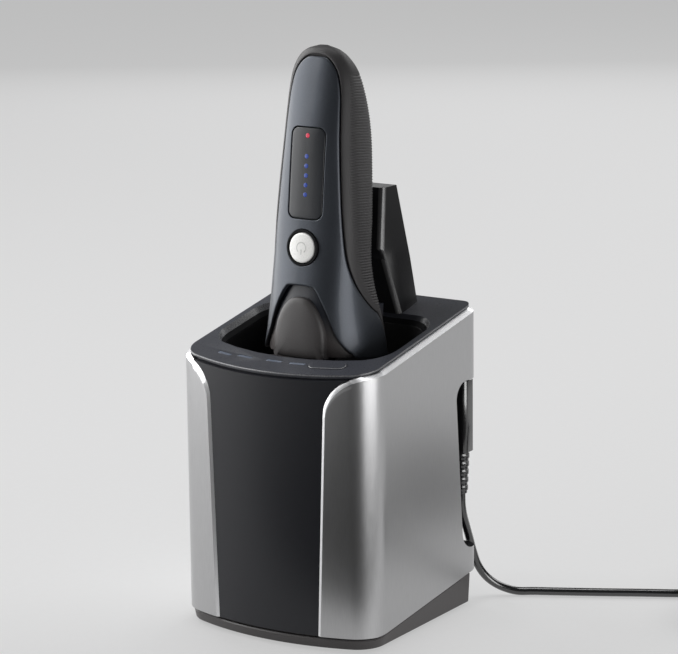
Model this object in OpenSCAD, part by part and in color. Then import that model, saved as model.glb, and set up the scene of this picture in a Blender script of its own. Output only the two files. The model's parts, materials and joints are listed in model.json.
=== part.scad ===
/* [Station] */
// Width of the head of the shaver, which the station is built around
head_w = 62; // [54:1:74]
// Room beside the head in the well
head_room = 7.4; // [6:0.2:10]
// Distance from the station's side to the well
well_side = 7.6; // [7:0.2:12]
// Depth of the station, front to back
station_d = 91; // [86:1:110]
// Height of the sloping top at its front edge
top_front_z = 109.4; // [104:0.2:132]
// Angle at which the top rises towards the back
top_slope = 10.4; // [6:0.1:14]
// Radius of the bowed front
bulge_r = 110; // [95:1:160]
// Radius of the two front corners
front_corner_r = 14; // [10:0.5:18]
// Radius of the two rear corners
rear_corner_r = 6; // [5:0.5:9]
// Thickness of the silver side shells
shell_t = 3; // [2.4:0.1:3.6]
// Drop of the polished chamfer that runs round the rim
chamfer_drop = 1.8; // [1.2:0.1:2.4]
// Height of the dark top above the silver rim
bezel_rise = 1.2; // [0.6:0.1:2.4]
// Half width of the dark front panel at the table
panel_low = 25.6; // [20:0.2:28]
// Half width of the dark front panel where it starts to curve outwards
panel_high = 26.8; // [22:0.2:29]
// Radius of that curve
panel_curve_r = 15.5; // [10:0.5:16]
// Height of the silver shell's lower edge at the front
shell_low_z = 5.9; // [5:0.1:8]
// Angle at which that lower edge rises towards the back
shell_low_slope = 7; // [0:0.5:9]

/* [Well and tower] */
// Depth of the top between the front edge and the well
front_deck = 18; // [17:0.2:22]
// Depth of the top between the well and the back
rear_deck = 21.5; // [20:0.2:26]
// Corner radius of the well
well_corner_r = 13; // [8:0.5:15]
// Wall of the cleaning tray
tray_t = 1.8; // [1.4:0.1:2.4]
// Upper width of the contact tower
tower_w = 31; // [26:0.5:34]
// Width of the contact tower at its foot
tower_foot_w = 45; // [40:0.5:50]
// Height of the tower above the front edge of the top
tower_h = 65; // [58:0.5:72]

/* [Shaver] */
// Angle at which the docked shaver leans back
lean = 6; // [3:0.5:8]
// Length of the handle from the neck to its tail
handle_len = 123; // [116:1:136]
// Width of the handle at mid length
handle_w = 38.2; // [35:0.2:42]
// Depth of the handle, front to back
handle_d = 30; // [28:0.2:34]
// Width of the handle at the neck
neck_w = 51; // [47:0.5:56]
// Width of the handle near its tail
tail_w = 32.4; // [29:0.2:34]
// Wall of the front cover and of the grip
cover_t = 1.8; // [1.4:0.1:2.2]
// Diameter of the power button
button_d = 12; // [9:0.2:13]
// Length of the display window
display_l = 36; // [28:0.5:38]
// Width of the display window
display_w = 15.5; // [12:0.5:17]

/* [Head] */
// Depth of the shaving head, front to back
head_d = 31; // [30:0.2:34]
// Height of the head frame
head_frame_h = 24; // [23:0.2:27]
// Outer radius of each curved foil
foil_r = 4.3; // [3.8:0.1:4.5]
// Distance between neighbouring foils
foil_pitch = 9.4; // [9.2:0.1:9.6]
// Diameter of the post that carries the head
post_d = 12; // [10:0.2:12.6]
// Diameter of the gimbal pins
gimbal_pin_d = 3; // [2.4:0.1:3.4]

/* [Inside the station] */
// Width of the water tank
tank_w = 56; // [46:1:57]
// Length of the water tank
tank_l = 42; // [36:1:46]
// Height of the water tank
tank_h = 32; // [24:1:36]
// Diameter of the pump housing
pump_d = 22; // [19:0.5:24]
// Diameter of the drying fan's housing
fan_d = 28; // [24:0.5:30]

/* [Cord] */
// Diameter of the cord
cord_d = 3.4; // [3:0.1:3.8]

/* [Fits] */
// Gap along a seam between two fixed pieces
seam = 0.15; // [0.1:0.05:0.3]
// Radial clearance of a turning or sliding shaft
run_gap = 0.05; // [0.02:0.01:0.1]
// Gap round a piece that slides
slide_gap = 0.3; // [0.2:0.05:0.4]

/* [Hidden] */
$fn = 96;
hull_fn = 48;
far = 300;

// Station: plan and heights
half_w = head_w / 2 + head_room + well_side;
front_y = -station_d / 2;
rear_y = station_d / 2;
well_half_w = head_w / 2 + head_room;
well_front_y = front_y + front_deck;
well_rear_y = rear_y - rear_deck;
foot_h = 1.6;
foot_d = 9;
floor_t = 2.4;
floor_z = foot_h + floor_t;
base_inset = shell_t + 0.4;
base_wall = 2;
base_top_z = 20;
skirt_in = 2.6;
skirt_top_z = 6;
shell_low_y = front_y + 14;
bezel_t = 3.2;
bezel_inset = shell_t + seam;
bezel_lip = 1.2;
deck_t = bezel_t + bezel_rise;
panel_inset = 0.8;
panel_drop = 0.8;
panel_t = shell_t - panel_inset - seam;
panel_curve_z = top_front_z + 1.3 - panel_curve_r;
rear_panel_half = half_w - 8;

// Station: the lamps, the button and the board under the front of the top
lamp_places = [[-25, 12.4], [-15, 12], [-1, 11.7], [9.9, 12]];
lamp_l = 7;
lamp_w = 1.6;
lamp_depth = 1.2;
select_x = 23;
select_y = front_y + 13.5;
select_l = 15.5;
select_w = 6;
select_turn = asin(select_x / bulge_r);
select_travel = 0.6;
board_drop = deck_t + 5.2;

// Station: where the shaver stands
dock_y = well_rear_y - 27.5;
dock_z = top_front_z + 1;

// Shaver: height above the neck, half width, front, widest line, back and seam angle of each section
neck_half = neck_w / 2;
mid_half = handle_w / 2;
tail_half = tail_w / 2;
front_v = -handle_d / 2;
back_v = handle_d / 2;
SECTIONS = [
    [0, neck_half, front_v - 0.5, 11, back_v + 2.8, -30],
    [10, mix(neck_half, mid_half, 0.3), front_v - 1.2, 10, back_v + 2.6, -15],
    [20, mix(neck_half, mid_half, 0.58), front_v - 1.4, 7, back_v + 2.2, 4],
    [30, mix(neck_half, mid_half, 0.82), front_v - 0.8, 2.5, back_v + 1, 19],
    [40, mix(neck_half, mid_half, 0.95), front_v - 0.2, 0.3, back_v, 31],
    [55, mid_half, front_v, 0, back_v, 40],
    [70, mid_half - 0.9, front_v, 0, back_v + 0.2, 43],
    [handle_len - 38, tail_half + 0.7, front_v, 0, back_v + 0.3, 43.5],
    [handle_len - 28, tail_half, front_v + 0.6, -0.6, back_v - 1.8, 43.5],
    [handle_len - 18, tail_half - 0.9, front_v + 1.8, -2, back_v - 6, 44],
    [handle_len - 10, tail_half - 2.6, front_v + 2.8, -3.6, back_v - 10.2, 48],
    [handle_len - 4.6, tail_half - 5.6, front_v + 4, -5, back_v - 14.4, 57],
    [handle_len - 1.5, tail_half - 9.6, front_v + 5.4, -5.6, back_v - 17.6, 72],
    [handle_len, 1.6, front_v + 7.6, -6, back_v - 20, 84]
];
section_power = 2.6;
sheet_steps = 16;
LEVELS = [for (i = [0 : len(SECTIONS) - 1], half = [0, 1]) if (i + half < len(SECTIONS))
    (SECTIONS[i][0] + SECTIONS[i + half][0]) / 2];

button_s = 43;
display_s = 72.5;
display_corner_r = 3;
indicator_s = [87.4, 79.2, 75.4, 71.6, 67.8, 64];
ring_wall = 0.9;
button_travel = 0.8;
board_front_v = front_v + 5.8;
board_t = 1.2;
chassis_front_v = board_front_v + board_t + 0.8;
chassis_t = 2.4;
battery_d = 14.2;
battery_l = 50;
battery_s = 36;
contact_s = 58;
contact_x = 4.5;
terminal_d = 4.4;
terminal_proud = 0.15;
pin_d = 2.4;
pin_l = 9;
pin_reach = 1.2;
boss_front_v = back_v + terminal_proud + 0.1 + pin_reach;

// Head
head_v = 2.2;
head_top_s = -5.5;
head_wall = 1.8;
head_plate_t = 2.5;
head_corner_r = 9;
gimbal_s = head_top_s - 7.5;
ring_h = 6;
ring_in_x = post_d / 2 + 1.6;
ring_in_v = post_d / 2 + 1.2;
ring_wall_x = 4;
ring_wall_v = 2.2;
post_low_s = gimbal_s - 3.5;
post_collar_s = 26;
sleeve_low_s = 9;
motor_top_s = gimbal_s - 5.5;
motor_h = 8;
head_low_s = head_top_s - head_frame_h;
carrier_top_s = motor_top_s - motor_h - 0.6;
carrier_t = 1.6;
foil_t = 0.4;
foil_s = head_low_s - 9;
foil_half_l = head_w / 2 - 6;
blade_r = foil_r - foil_t - 0.15;
blade_t = 0.5;
blade_count = 18;
foil_frame_h = 9.2;
release_s = head_low_s + 4;
trimmer_low_s = 4;
trimmer_l = 16;
trimmer_half_w = 15;
trimmer_v = back_v + 3.1;

// Inside the station
tray_floor_z = dock_z - 48.4;
tank_z = floor_z + 1.6;
tank_y = rear_y - tank_l - 0.6;
tank_wall = 1.8;
tank_face = 5;
lid_t = 1.4;
pump_x = -14;
pump_y = front_y + 21.5;
pump_h = 13;
pump_wall = 1.6;
pump_floor = 2.4;
motor_d = 17;
pump_motor_h = 22;
pipe_d = 6;
pipe_bore = 4;
pipe_bend = 6;
fan_x = 18;
fan_y = front_y + base_inset + skirt_in / 2 + base_wall + fan_d / 2 + 2.3;
fan_h = 15;
shaft_d = 2;

// Cord bay in the right rear corner, and the plug in it
bay_x = half_w - 12.4;
bay_wall = 1.6;
bay_top_z = top_front_z - 13.4;
bay_low_z = 25;
plug_x = half_w - 6;
plug_y = rear_y - 4.3;
plug_w = 8.6;
plug_depth = 7.6;
plug_top_z = bay_top_z - 1.2;
plug_body_l = 30;
relief_l = 18;
prong_d = 1.5;
prong_gap = 4;
socket_l = 10;
socket_left = plug_x - 5.4;
socket_right = half_w - shell_t - 1;
cord_z = cord_d / 2 + 0.1;

// Cord: the stretch from the plug to the coil, and the one from the coil to the adaptor
coil_x = 149;
coil_y = 89.5;
coil_mid_r = 20;
coil_h = 14.4;
coil_band = 14.1;
adaptor_x = 136.8;
adaptor_y = 118.5;
adaptor_exit_z = 14;
LEAD = [
    [plug_x, plug_y, plug_top_z - plug_body_l - relief_l], [40, 41.4, 42], [40, 42.6, 37], [40, 45, 31.5],
    [40.2, 47.2, 26], [40.8, 49, 20], [42, 51, 13.6], [44.6, 53.8, 8], [49, 57, 4], [55, 60.4, cord_z],
    [62, 64, cord_z], [73, 69.6, cord_z], [86, 76.4, cord_z], [100, 84, cord_z], [114, 91.4, cord_z],
    [119.2, 95.2, cord_z], [124.8, 100.4, cord_z], [131.1, 107.4, cord_z]
];
TAIL = [
    [131.1, 107.4, 12.7], [133.6, 110.2, 12.9], [135.6, 113.3, 13.3], [136.6, 116.1, 13.8],
    [adaptor_x, adaptor_y, adaptor_exit_z]
];

function mix(a, b, t) = a + (b - a) * t;
function top_z(y) = top_front_z + (y - front_y) * tan(top_slope);

// Which pair of sections a height lies between
function span_of(s, i = 0) = (i >= len(SECTIONS) - 2 || s < SECTIONS[i + 1][0]) ? i : span_of(s, i + 1);

// A section at any height, on a smooth curve through the driving ones
function section_at(s) =
    let (
        i = span_of(s),
        a = SECTIONS[i],
        b = SECTIONS[i + 1],
        before = SECTIONS[max(i - 1, 0)],
        after = SECTIONS[min(i + 2, len(SECTIONS) - 1)],
        h = b[0] - a[0],
        t = (s - a[0]) / h,
        slope_a = (b - before) / (b[0] - before[0]),
        slope_b = (after - a) / (after[0] - a[0])
    )
    a * (2 * t ^ 3 - 3 * t ^ 2 + 1) + b * (3 * t ^ 2 - 2 * t ^ 3)
        + slope_a * h * (t ^ 3 - 2 * t ^ 2 + t) + slope_b * h * (t ^ 3 - t ^ 2);

function rounded(c) = sign(c) * abs(c) ^ (2 / section_power);

// The height of an inner level: the tail's wall is as thick as the sides
function level_at(s, inset) = s - 1.2 * inset * (s / handle_len) ^ 6;

// A point of the handle's skin at a height, an angle round it and a depth below it
function skin_point(s, angle, inset) =
    let (
        level = level_at(s, inset),
        q = section_at(level),
        depth = sin(angle) < 0 ? q[3] - q[2] - inset : q[4] - q[3] - inset
    )
    [(q[1] - inset) * rounded(cos(angle)), q[3] + depth * rounded(sin(angle)), level];

function seam_at(s) = section_at(s)[5];

// Angles of the front cover's and the grip's two edges at a height
function gap_angle(s) = seam / section_at(s)[1] * 180 / PI;
function first_angle(s, front) = (front ? -180 + seam_at(s) : -seam_at(s)) + gap_angle(s);
function last_angle(s, front) = (front ? -seam_at(s) : 180 + seam_at(s)) - gap_angle(s);

module in_shaver() {
    translate([0, dock_y, dock_z]) rotate([-lean, 0, 0]) children();
}

// A place on the raised dark top, with its outward normal upwards
module on_top(x, y) {
    translate([x, y, top_z(y) + bezel_rise]) rotate([top_slope, 0, 0]) children();
}

// The space between two heights measured from the sloping rim
module top_layer(low, high) {
    rotate([90, 0, 90]) linear_extrude(far, center = true)
        polygon([[-far, top_z(-far) + low], [far, top_z(far) + low], [far, top_z(far) + high],
            [-far, top_z(-far) + high]]);
}

// A plan with a bowed front, straight sides and rounded corners
module plan(half, y_front, y_rear, bow_r, r_front, r_rear) {
    bow_y = y_front + bow_r;
    corner_x = half - r_front;
    corner_y = bow_y - sqrt((bow_r - r_front) ^ 2 - corner_x ^ 2);
    out = [corner_x, corner_y - bow_y] / (bow_r - r_front);
    reach = 3 * r_front;
    difference() {
        intersection() {
            translate([0, bow_y]) circle(bow_r);
            translate([-half, y_front - 1]) square([2 * half, y_rear - y_front + 1]);
        }
        for (side = [0, 1]) mirror([side, 0]) {
            difference() {
                polygon([[corner_x, corner_y], [corner_x + reach, corner_y],
                    [corner_x + reach, corner_y - reach], [corner_x, corner_y] + reach * out]);
                translate([corner_x, corner_y]) circle(r_front);
            }
            difference() {
                translate([half - r_rear, y_rear - r_rear]) square(2 * r_rear);
                translate([half - r_rear, y_rear - r_rear]) circle(r_rear);
            }
        }
    }
}

module station_plan(inset) {
    plan(half_w - inset, front_y + inset, rear_y - inset, bulge_r - inset, front_corner_r - inset,
        max(rear_corner_r - inset, 0.8));
}

module well_plan(grow) {
    plan(well_half_w + grow, well_front_y - grow, well_rear_y + grow, bulge_r - front_deck + grow,
        well_corner_r + grow, well_corner_r + grow);
}

module wall_ring(inset, t) {
    linear_extrude(far) difference() {
        station_plan(inset);
        station_plan(inset + t);
    }
}

// Everything below the sloping top with its chamfered rim, lowered by a step
module under_rim(step) {
    top_layer(-far, -2 * chamfer_drop - step);
    translate([0, 0, -step]) hull() {
        intersection() {
            linear_extrude(far) station_plan(-shell_t, $fn = hull_fn);
            top_layer(-2 * chamfer_drop - 0.2, -2 * chamfer_drop);
        }
        intersection() {
            linear_extrude(far) station_plan(shell_t, $fn = hull_fn);
            top_layer(-0.2, 0);
        }
    }
}

// The dark window in the silver front, seen from the front
module panel_window(grow) {
    curve_x = panel_high + panel_curve_r;
    r = panel_curve_r - grow;
    right = concat(
        [[panel_low + grow, -1], [panel_high + grow, panel_curve_z]],
        [for (a = [170 : -10 : 90]) [curve_x + r * cos(a), panel_curve_z + r * sin(a)]],
        [[curve_x, far]]
    );
    left = [for (i = [len(right) - 1 : -1 : 0]) [-right[i][0], right[i][1]]];
    translate([0, -far / 8, 0]) rotate([90, 0, 0]) linear_extrude(far) polygon(concat(right, left));
}

// The space below the shells' lower edge
module under_shell() {
    rise = (rear_y - shell_low_y) * tan(shell_low_slope);
    rotate([90, 0, 90]) linear_extrude(far, center = true)
        polygon([[-far, -far], [-far, shell_low_z], [shell_low_y, shell_low_z],
            [rear_y, shell_low_z + rise], [rear_y + 9, shell_low_z + rise], [rear_y + 9, -far]]);
}

// The cord bay's outline seen from the side, open at the back
module bay_outline(grow) {
    low_r = 8 + grow;
    top_r = 7 + grow;
    polygon(concat(
        [[rear_y + 20, bay_low_z - grow]],
        [for (a = [270 : -15 : 180]) [rear_y - 5.5 + low_r * cos(a), bay_low_z + 8 + low_r * sin(a)]],
        [for (a = [180 : -15 : 90]) [rear_y - 11 + top_r * cos(a), bay_top_z - 7 + top_r * sin(a)]],
        [[rear_y + 20, bay_top_z + grow]]));
}

module bay_space(x, grow) {
    translate([x, 0, 0]) rotate([90, 0, 90]) linear_extrude(far) bay_outline(grow);
}

module tank_mouth() {
    translate([-tank_w / 2 - slide_gap - 1, tank_y + tank_l - 8, tank_z - slide_gap - 1])
        cube([tank_w + 2 * slide_gap + 2, 20, tank_h + lid_t + 2 * slide_gap + 2]);
}

module base_tray() color("dimgray") {
    difference() {
        union() {
            hull() {
                translate([0, 0, foot_h]) linear_extrude(0.4)
                    station_plan(base_inset + skirt_in, $fn = hull_fn);
                translate([0, 0, skirt_top_z]) linear_extrude(0.4)
                    station_plan(base_inset + 0.4, $fn = hull_fn);
            }
            translate([0, 0, skirt_top_z]) linear_extrude(base_top_z - skirt_top_z)
                station_plan(base_inset);
        }
        translate([0, 0, floor_z]) linear_extrude(far) station_plan(base_inset + skirt_in / 2 + base_wall);
        bay_space(bay_x - bay_wall - seam, bay_wall + seam);
        tank_mouth();
        for (p = foot_places()) translate([p[0], p[1], 0])
            cylinder(d = foot_d + 2 * seam, h = foot_h + 0.5);
        for (p = screw_places()) translate([p[0], p[1], 0]) {
            cylinder(d = 3.2, h = far);
            cylinder(d = 6.2, h = foot_h + 1.4);
        }
    }
    for (side = [-1, 1]) translate([side * (tank_w / 2 - 8) - 2, tank_y, floor_z - 0.2])
        cube([4, tank_l - 10, tank_z - floor_z + 0.2]);
}

function foot_places() = [for (x = [-1, 1], y = [front_y + 20, rear_y - 14]) [x * (half_w - 15), y]];
function screw_places() = [for (x = [-1, 1], y = [front_y + 33, rear_y - 27]) [x * (half_w - 11), y]];

module rubber_feet() color("black") {
    for (p = foot_places()) translate([p[0], p[1], 0]) rotate_extrude()
        polygon([[0, 0], [foot_d / 2 - 0.8, 0], [foot_d / 2, 0.8], [foot_d / 2, foot_h + 0.5],
            [0, foot_h + 0.5]]);
}

module base_screws() color("silver") {
    for (p = screw_places()) translate([p[0], p[1], foot_h + 0.1]) difference() {
        union() {
            cylinder(d = 5.6, h = 1.3);
            cylinder(d = 2.9, h = 7);
        }
        for (turn = [0, 90]) rotate([0, 0, turn]) cube([3.4, 0.8, 1.6], center = true);
    }
}

module side_shell() {
    difference() {
        intersection() {
            wall_ring(0, shell_t);
            under_rim(0);
            translate([10, -far / 2, 0]) cube(far);
        }
        panel_window(0);
        under_shell();
        translate([-far + rear_panel_half, rear_y - 9, -1]) cube([far, 20, far]);
    }
}

module left_shell() color("silver") {
    mirror([1, 0, 0]) side_shell();
}

module right_shell() color("silver") {
    difference() {
        side_shell();
        bay_space(bay_x, 0);
    }
}

module front_panel() color([0.08, 0.08, 0.09]) {
    difference() {
        intersection() {
            wall_ring(panel_inset, panel_t);
            top_layer(-far, -panel_drop);
            panel_window(-seam);
        }
        under_shell();
    }
}

module rear_panel() color([0.12, 0.12, 0.13]) {
    vent_w = 34;
    vent_h = 1.6;
    vent_pitch = 3.4;
    vent_rows = 7;
    vent_z = top_front_z - 38;
    difference() {
        intersection() {
            wall_ring(0.4, shell_t - 0.4 - seam);
            under_rim(0.6);
            translate([-rear_panel_half + seam, rear_y - 8, base_top_z / 2])
                cube([2 * (rear_panel_half - seam), 20, far]);
        }
        tank_mouth();
        bay_space(bay_x - bay_wall - seam, bay_wall + seam);
        for (i = [0 : vent_rows - 1]) translate([-vent_w / 2, rear_y - 10, vent_z + i * vent_pitch])
            cube([vent_w, 20, vent_h]);
    }
}

module pill(l, w) {
    translate([-(l - w) / 2, -w / 2]) square([l - w, w]);
    for (side = [-1, 1]) translate([side * (l - w) / 2, 0]) circle(d = w);
}

module lamp_bars(grow, depth) {
    for (p = lamp_places) on_top(p[0], front_y + p[1]) rotate([0, 0, asin(p[0] / bulge_r)])
        translate([0, 0, -depth]) linear_extrude(depth + grow) square([lamp_l + 2 * grow, lamp_w + 2 * grow],
            center = true);
}

module on_select() {
    on_top(select_x, select_y) rotate([0, 0, select_turn]) children();
}

module top_bezel() color("darkslategray") {
    bevel = 3;
    difference() {
        union() {
            intersection() {
                linear_extrude(far) station_plan(bezel_inset);
                top_layer(-bezel_t, bezel_rise);
            }
            intersection() {
                linear_extrude(far) station_plan(bezel_inset - bezel_lip);
                top_layer(seam, bezel_rise);
            }
        }
        linear_extrude(far) well_plan(0);
        hull() {
            intersection() {
                linear_extrude(far) well_plan(0.2, $fn = hull_fn);
                top_layer(-bezel_t + 0.4, -bezel_t + 0.6);
            }
            intersection() {
                linear_extrude(far) plan(well_half_w + bevel, well_front_y - bevel * 0.6, well_rear_y + 0.2,
                    bulge_r - front_deck + bevel * 0.6, well_corner_r + bevel, well_corner_r, $fn = hull_fn);
                top_layer(bezel_rise, bezel_rise + 0.2);
            }
        }
        lamp_bars(seam, lamp_depth + seam);
        on_select() translate([0, 0, -10]) linear_extrude(20) pill(select_l + 2 * slide_gap,
            select_w + 2 * slide_gap);
    }
    for (x = [-34, 4.4]) intersection() {
        translate([x, front_y + 10 + x ^ 2 / (2 * bulge_r), 0]) cylinder(d = 3.6, h = far);
        top_layer(bezel_rise - board_drop, -bezel_t + 0.2);
    }
}

module lamp_windows() color("lightsteelblue") {
    lamp_bars(0, lamp_depth);
}

module select_button() color("slategray") {
    on_select() {
        translate([0, 0, -deck_t]) linear_extrude(deck_t + 0.4) pill(select_l, select_w);
        translate([0, 0, -deck_t - 1.2 - select_travel]) linear_extrude(1.2)
            pill(select_l + 2, select_w + 2);
        translate([0, 0, -deck_t - 1.2 - select_travel]) linear_extrude(1.4 + select_travel)
            pill(select_l - 1, select_w - 1);
        translate([0, 0, -board_drop + 1.6 + select_travel + 0.2]) cylinder(d = 3, h = 2);
    }
}

module control_board() color("darkgreen") {
    intersection() {
        translate([0, front_y + bulge_r]) linear_extrude(far) difference() {
            circle(bulge_r - 5);
            circle(bulge_r - 15.4);
        }
        top_layer(bezel_rise - board_drop - 1.6, bezel_rise - board_drop);
        translate([-37, -far / 2, 0]) cube([74, far / 2, far]);
    }
    on_select() translate([-3, -3, -board_drop - 0.2]) cube([6, 6, 1.6]);
    for (p = lamp_places) on_top(p[0], front_y + p[1]) translate([-1.5, -1, -board_drop - 0.2])
        cube([3, 2, 1.4]);
}

module cleaning_tray() color("gray") {
    rib_h = 1.2;
    difference() {
        intersection() {
            translate([0, 0, tray_floor_z - tray_t]) linear_extrude(far) well_plan(tray_t);
            top_layer(-far, -bezel_t - 0.05);
        }
        translate([0, 0, tray_floor_z]) linear_extrude(far) well_plan(0);
        translate([pipe_x(), pipe_y(), 0]) cylinder(d = pipe_bore, h = far);
    }
    for (x = [-20, 20]) translate([x - 1, dock_y - 20, tray_floor_z - 0.1]) cube([2, 24, rib_h]);
}

// Height, then the line and half width of the front, of the crease along the side and of the back
function tower_levels() =
    let (
        top = top_front_z + tower_h,
        waist = top - 29.5,
        y = well_rear_y,
        foot = tower_foot_w / 2,
        half = tower_w / 2
    )
    [
        [top_front_z, y + 0.4, foot, y + 6, foot + 0.2, y + 14.4, foot - 0.4],
        [top_front_z + 13, y - 0.7, foot, y + 5.4, foot, y + 13.8, foot - 0.6],
        [waist, y - 2.6, half + 1.1, y + 4.2, half + 2.9, y + 11.6, half + 3.8],
        [waist + 5, y - 4.4, half + 0.1, y + 3.4, half + 2, y + 11, half + 3.1],
        [top, y - 1.4, half - 0.6, y + 2.6, half - 0.2, y + 7.6, half + 0.1]
    ];

module tower_body() {
    chamfer = 1.3;
    levels = tower_levels();
    m = 8;
    n = len(levels) - 1;
    points = [for (q = levels) each [
        [-q[2] + chamfer, q[1], q[0]], [q[2] - chamfer, q[1], q[0]], [q[2], q[1] + chamfer, q[0]],
        [q[4], q[3], q[0]], [q[6], q[5], q[0]], [-q[6], q[5], q[0]], [-q[4], q[3], q[0]],
        [-q[2], q[1] + chamfer, q[0]]]];
    walls = [for (i = [0 : n - 1], j = [0 : m - 1])
        let (a = i * m + j, b = i * m + (j + 1) % m) each [[a, a + m, b + m], [a, b + m, b]]];
    polyhedron(points, concat(walls, [[for (j = [0 : m - 1]) j], [for (j = [m - 1 : -1 : 0]) n * m + j]]));
}

module contact_tower() color([0.1, 0.1, 0.11]) {
    difference() {
        union() {
            intersection() {
                tower_body();
                top_layer(bezel_rise, far);
            }
            in_shaver() translate([-9, boss_front_v, contact_s - 6]) cube([18, 6, 12]);
        }
        in_shaver() for (x = [-contact_x, contact_x]) translate([x, 0, contact_s]) rotate([-90, 0, 0])
            cylinder(d = pin_d + 2 * run_gap, h = boss_front_v + pin_l);
    }
}

module contact_pin(x) {
    in_shaver() translate([x, boss_front_v - pin_reach, contact_s]) rotate([-90, 0, 0]) rotate_extrude()
        polygon([[0, 0], [pin_d / 2 - 0.5, 0], [pin_d / 2, 0.5], [pin_d / 2, pin_l], [0, pin_l]]);
}

module contact_pin_left() color("gold") contact_pin(-contact_x);

module contact_pin_right() color("gold") contact_pin(contact_x);

module cord_bay() color([0.1, 0.1, 0.11]) {
    difference() {
        intersection() {
            bay_space(bay_x - bay_wall, bay_wall);
            linear_extrude(far) station_plan(shell_t + seam);
        }
        bay_space(bay_x, 0);
        for (x = prong_places()) translate([x, plug_y - 1.6, 0]) cylinder(d = prong_d + 0.6, h = far);
    }
}

function prong_places() = [for (side = [-1, 1]) plug_x - 1.6 + side * prong_gap / 2];

module inlet_socket() color("black") {
    difference() {
        translate([socket_left, rear_y - 10.6, bay_top_z + bay_wall])
            cube([socket_right - socket_left, 6.4, socket_l]);
        for (x = prong_places()) translate([x, plug_y - 1.6, 0])
            cylinder(d = prong_d + 0.2, h = bay_top_z + socket_l - 1);
    }
}

module pump_housing() color("gainsboro") {
    translate([pump_x, pump_y, floor_z]) difference() {
        union() {
            cylinder(d = pump_d, h = pump_h);
            translate([0, pump_d / 4, pump_h / 2]) rotate([0, -90, 0])
                cylinder(d = pipe_d, h = pump_d / 2 + 1);
        }
        translate([0, 0, pump_floor]) cylinder(d = pump_d - 2 * pump_wall, h = far);
        translate([0, pump_d / 4, pump_h / 2]) rotate([0, -90, 0]) cylinder(d = pipe_bore, h = far);
    }
}

module pump_impeller() color("white") {
    hub_d = 5;
    vanes = 6;
    translate([pump_x, pump_y, floor_z + pump_floor + 1]) {
        cylinder(d = hub_d, h = 6);
        cylinder(d = pump_d - 2 * pump_wall - 3, h = 1);
        cylinder(d = shaft_d, h = pump_h + 2);
        for (i = [0 : vanes - 1]) rotate([0, 0, i * 360 / vanes]) translate([hub_d / 2 - 0.5, -0.5, 0])
            cube([(pump_d - 2 * pump_wall - 3 - hub_d) / 2, 1, 5]);
    }
}

module pump_motor() color("darkgray") {
    translate([pump_x, pump_y, floor_z + pump_h]) difference() {
        union() {
            cylinder(d = pump_d, h = 2);
            cylinder(d = motor_d, h = pump_motor_h);
            cylinder(d = 6, h = pump_motor_h + 1.5);
        }
        translate([0, 0, -1]) cylinder(d = shaft_d + 2 * run_gap, h = 8);
    }
}

function pipe_x() = pump_x - pump_d / 2 - 1 - pipe_bend;
function pipe_y() = pump_y + pump_d / 4;

module pipe_section() {
    difference() {
        circle(d = pipe_d);
        circle(d = pipe_bore);
    }
}

module supply_pipe() color("lightgray") {
    low_z = floor_z + pump_h / 2;
    translate([pipe_x(), pipe_y(), low_z + pipe_bend]) {
        translate([pipe_bend, 0, 0]) rotate([90, 0, 180]) rotate_extrude(angle = -90)
            translate([pipe_bend, 0]) pipe_section();
        linear_extrude(tray_floor_z - tray_t - low_z - pipe_bend) pipe_section();
    }
}

module fan_housing() color("gray") {
    translate([fan_x, fan_y, floor_z]) difference() {
        union() {
            cylinder(d = fan_d, h = fan_h);
            cube([fan_d / 2, fan_d / 2 + 2, fan_h]);
        }
        translate([0, 0, 2.6]) cylinder(d = fan_d - 3, h = fan_h - 4);
        translate([1.5, 0, 2.6]) cube([fan_d / 2 - 3, fan_d, fan_h - 4]);
        translate([0, 0, 5]) cylinder(d = fan_d - 10, h = far);
        translate([0, 0, 0.8]) cylinder(d = shaft_d + 2 * run_gap, h = 5);
    }
}

module fan_impeller() color("white") {
    blades = 12;
    outer_r = fan_d / 2 - 2.6;
    translate([fan_x, fan_y, floor_z + 3.2]) {
        translate([0, 0, -2]) cylinder(d = shaft_d, h = 4);
        cylinder(d = 8, h = fan_h - 6);
        cylinder(r = outer_r, h = 1);
        for (i = [0 : blades - 1]) rotate([0, 0, i * 360 / blades]) translate([outer_r - 4.5, 0, 0])
            rotate([0, 0, 30]) translate([0, -0.4, 0]) cube([4, 0.8, fan_h - 6.4]);
    }
}

module heater() color("tan") {
    fins = 7;
    w = 22;
    d = 6;
    translate([fan_x - 4, fan_y + fan_d / 2 + 2.4, floor_z]) {
        cube([w, d, 2]);
        translate([0, 0, fan_h]) cube([w, d, 2]);
        for (i = [0 : fins - 1]) translate([i * (w - 1.2) / (fins - 1), 0, 0]) cube([1.2, d, fan_h + 2]);
    }
}

module water_tank() color([0.6, 0.65, 0.7]) {
    grip_w = 26;
    translate([-tank_w / 2, tank_y, tank_z]) difference() {
        union() {
            cube([tank_w, tank_l, tank_h]);
            translate([0, tank_l - tank_face, 0]) cube([tank_w, tank_face, tank_h + lid_t]);
        }
        translate([tank_wall, tank_wall, tank_wall])
            cube([tank_w - 2 * tank_wall, tank_l - tank_wall - tank_face - 2, tank_h + lid_t]);
        translate([tank_w / 2, tank_l + 2, tank_h * 0.62]) rotate([0, 90, 0])
            cylinder(d = 13, h = grip_w, center = true);
    }
}

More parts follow.
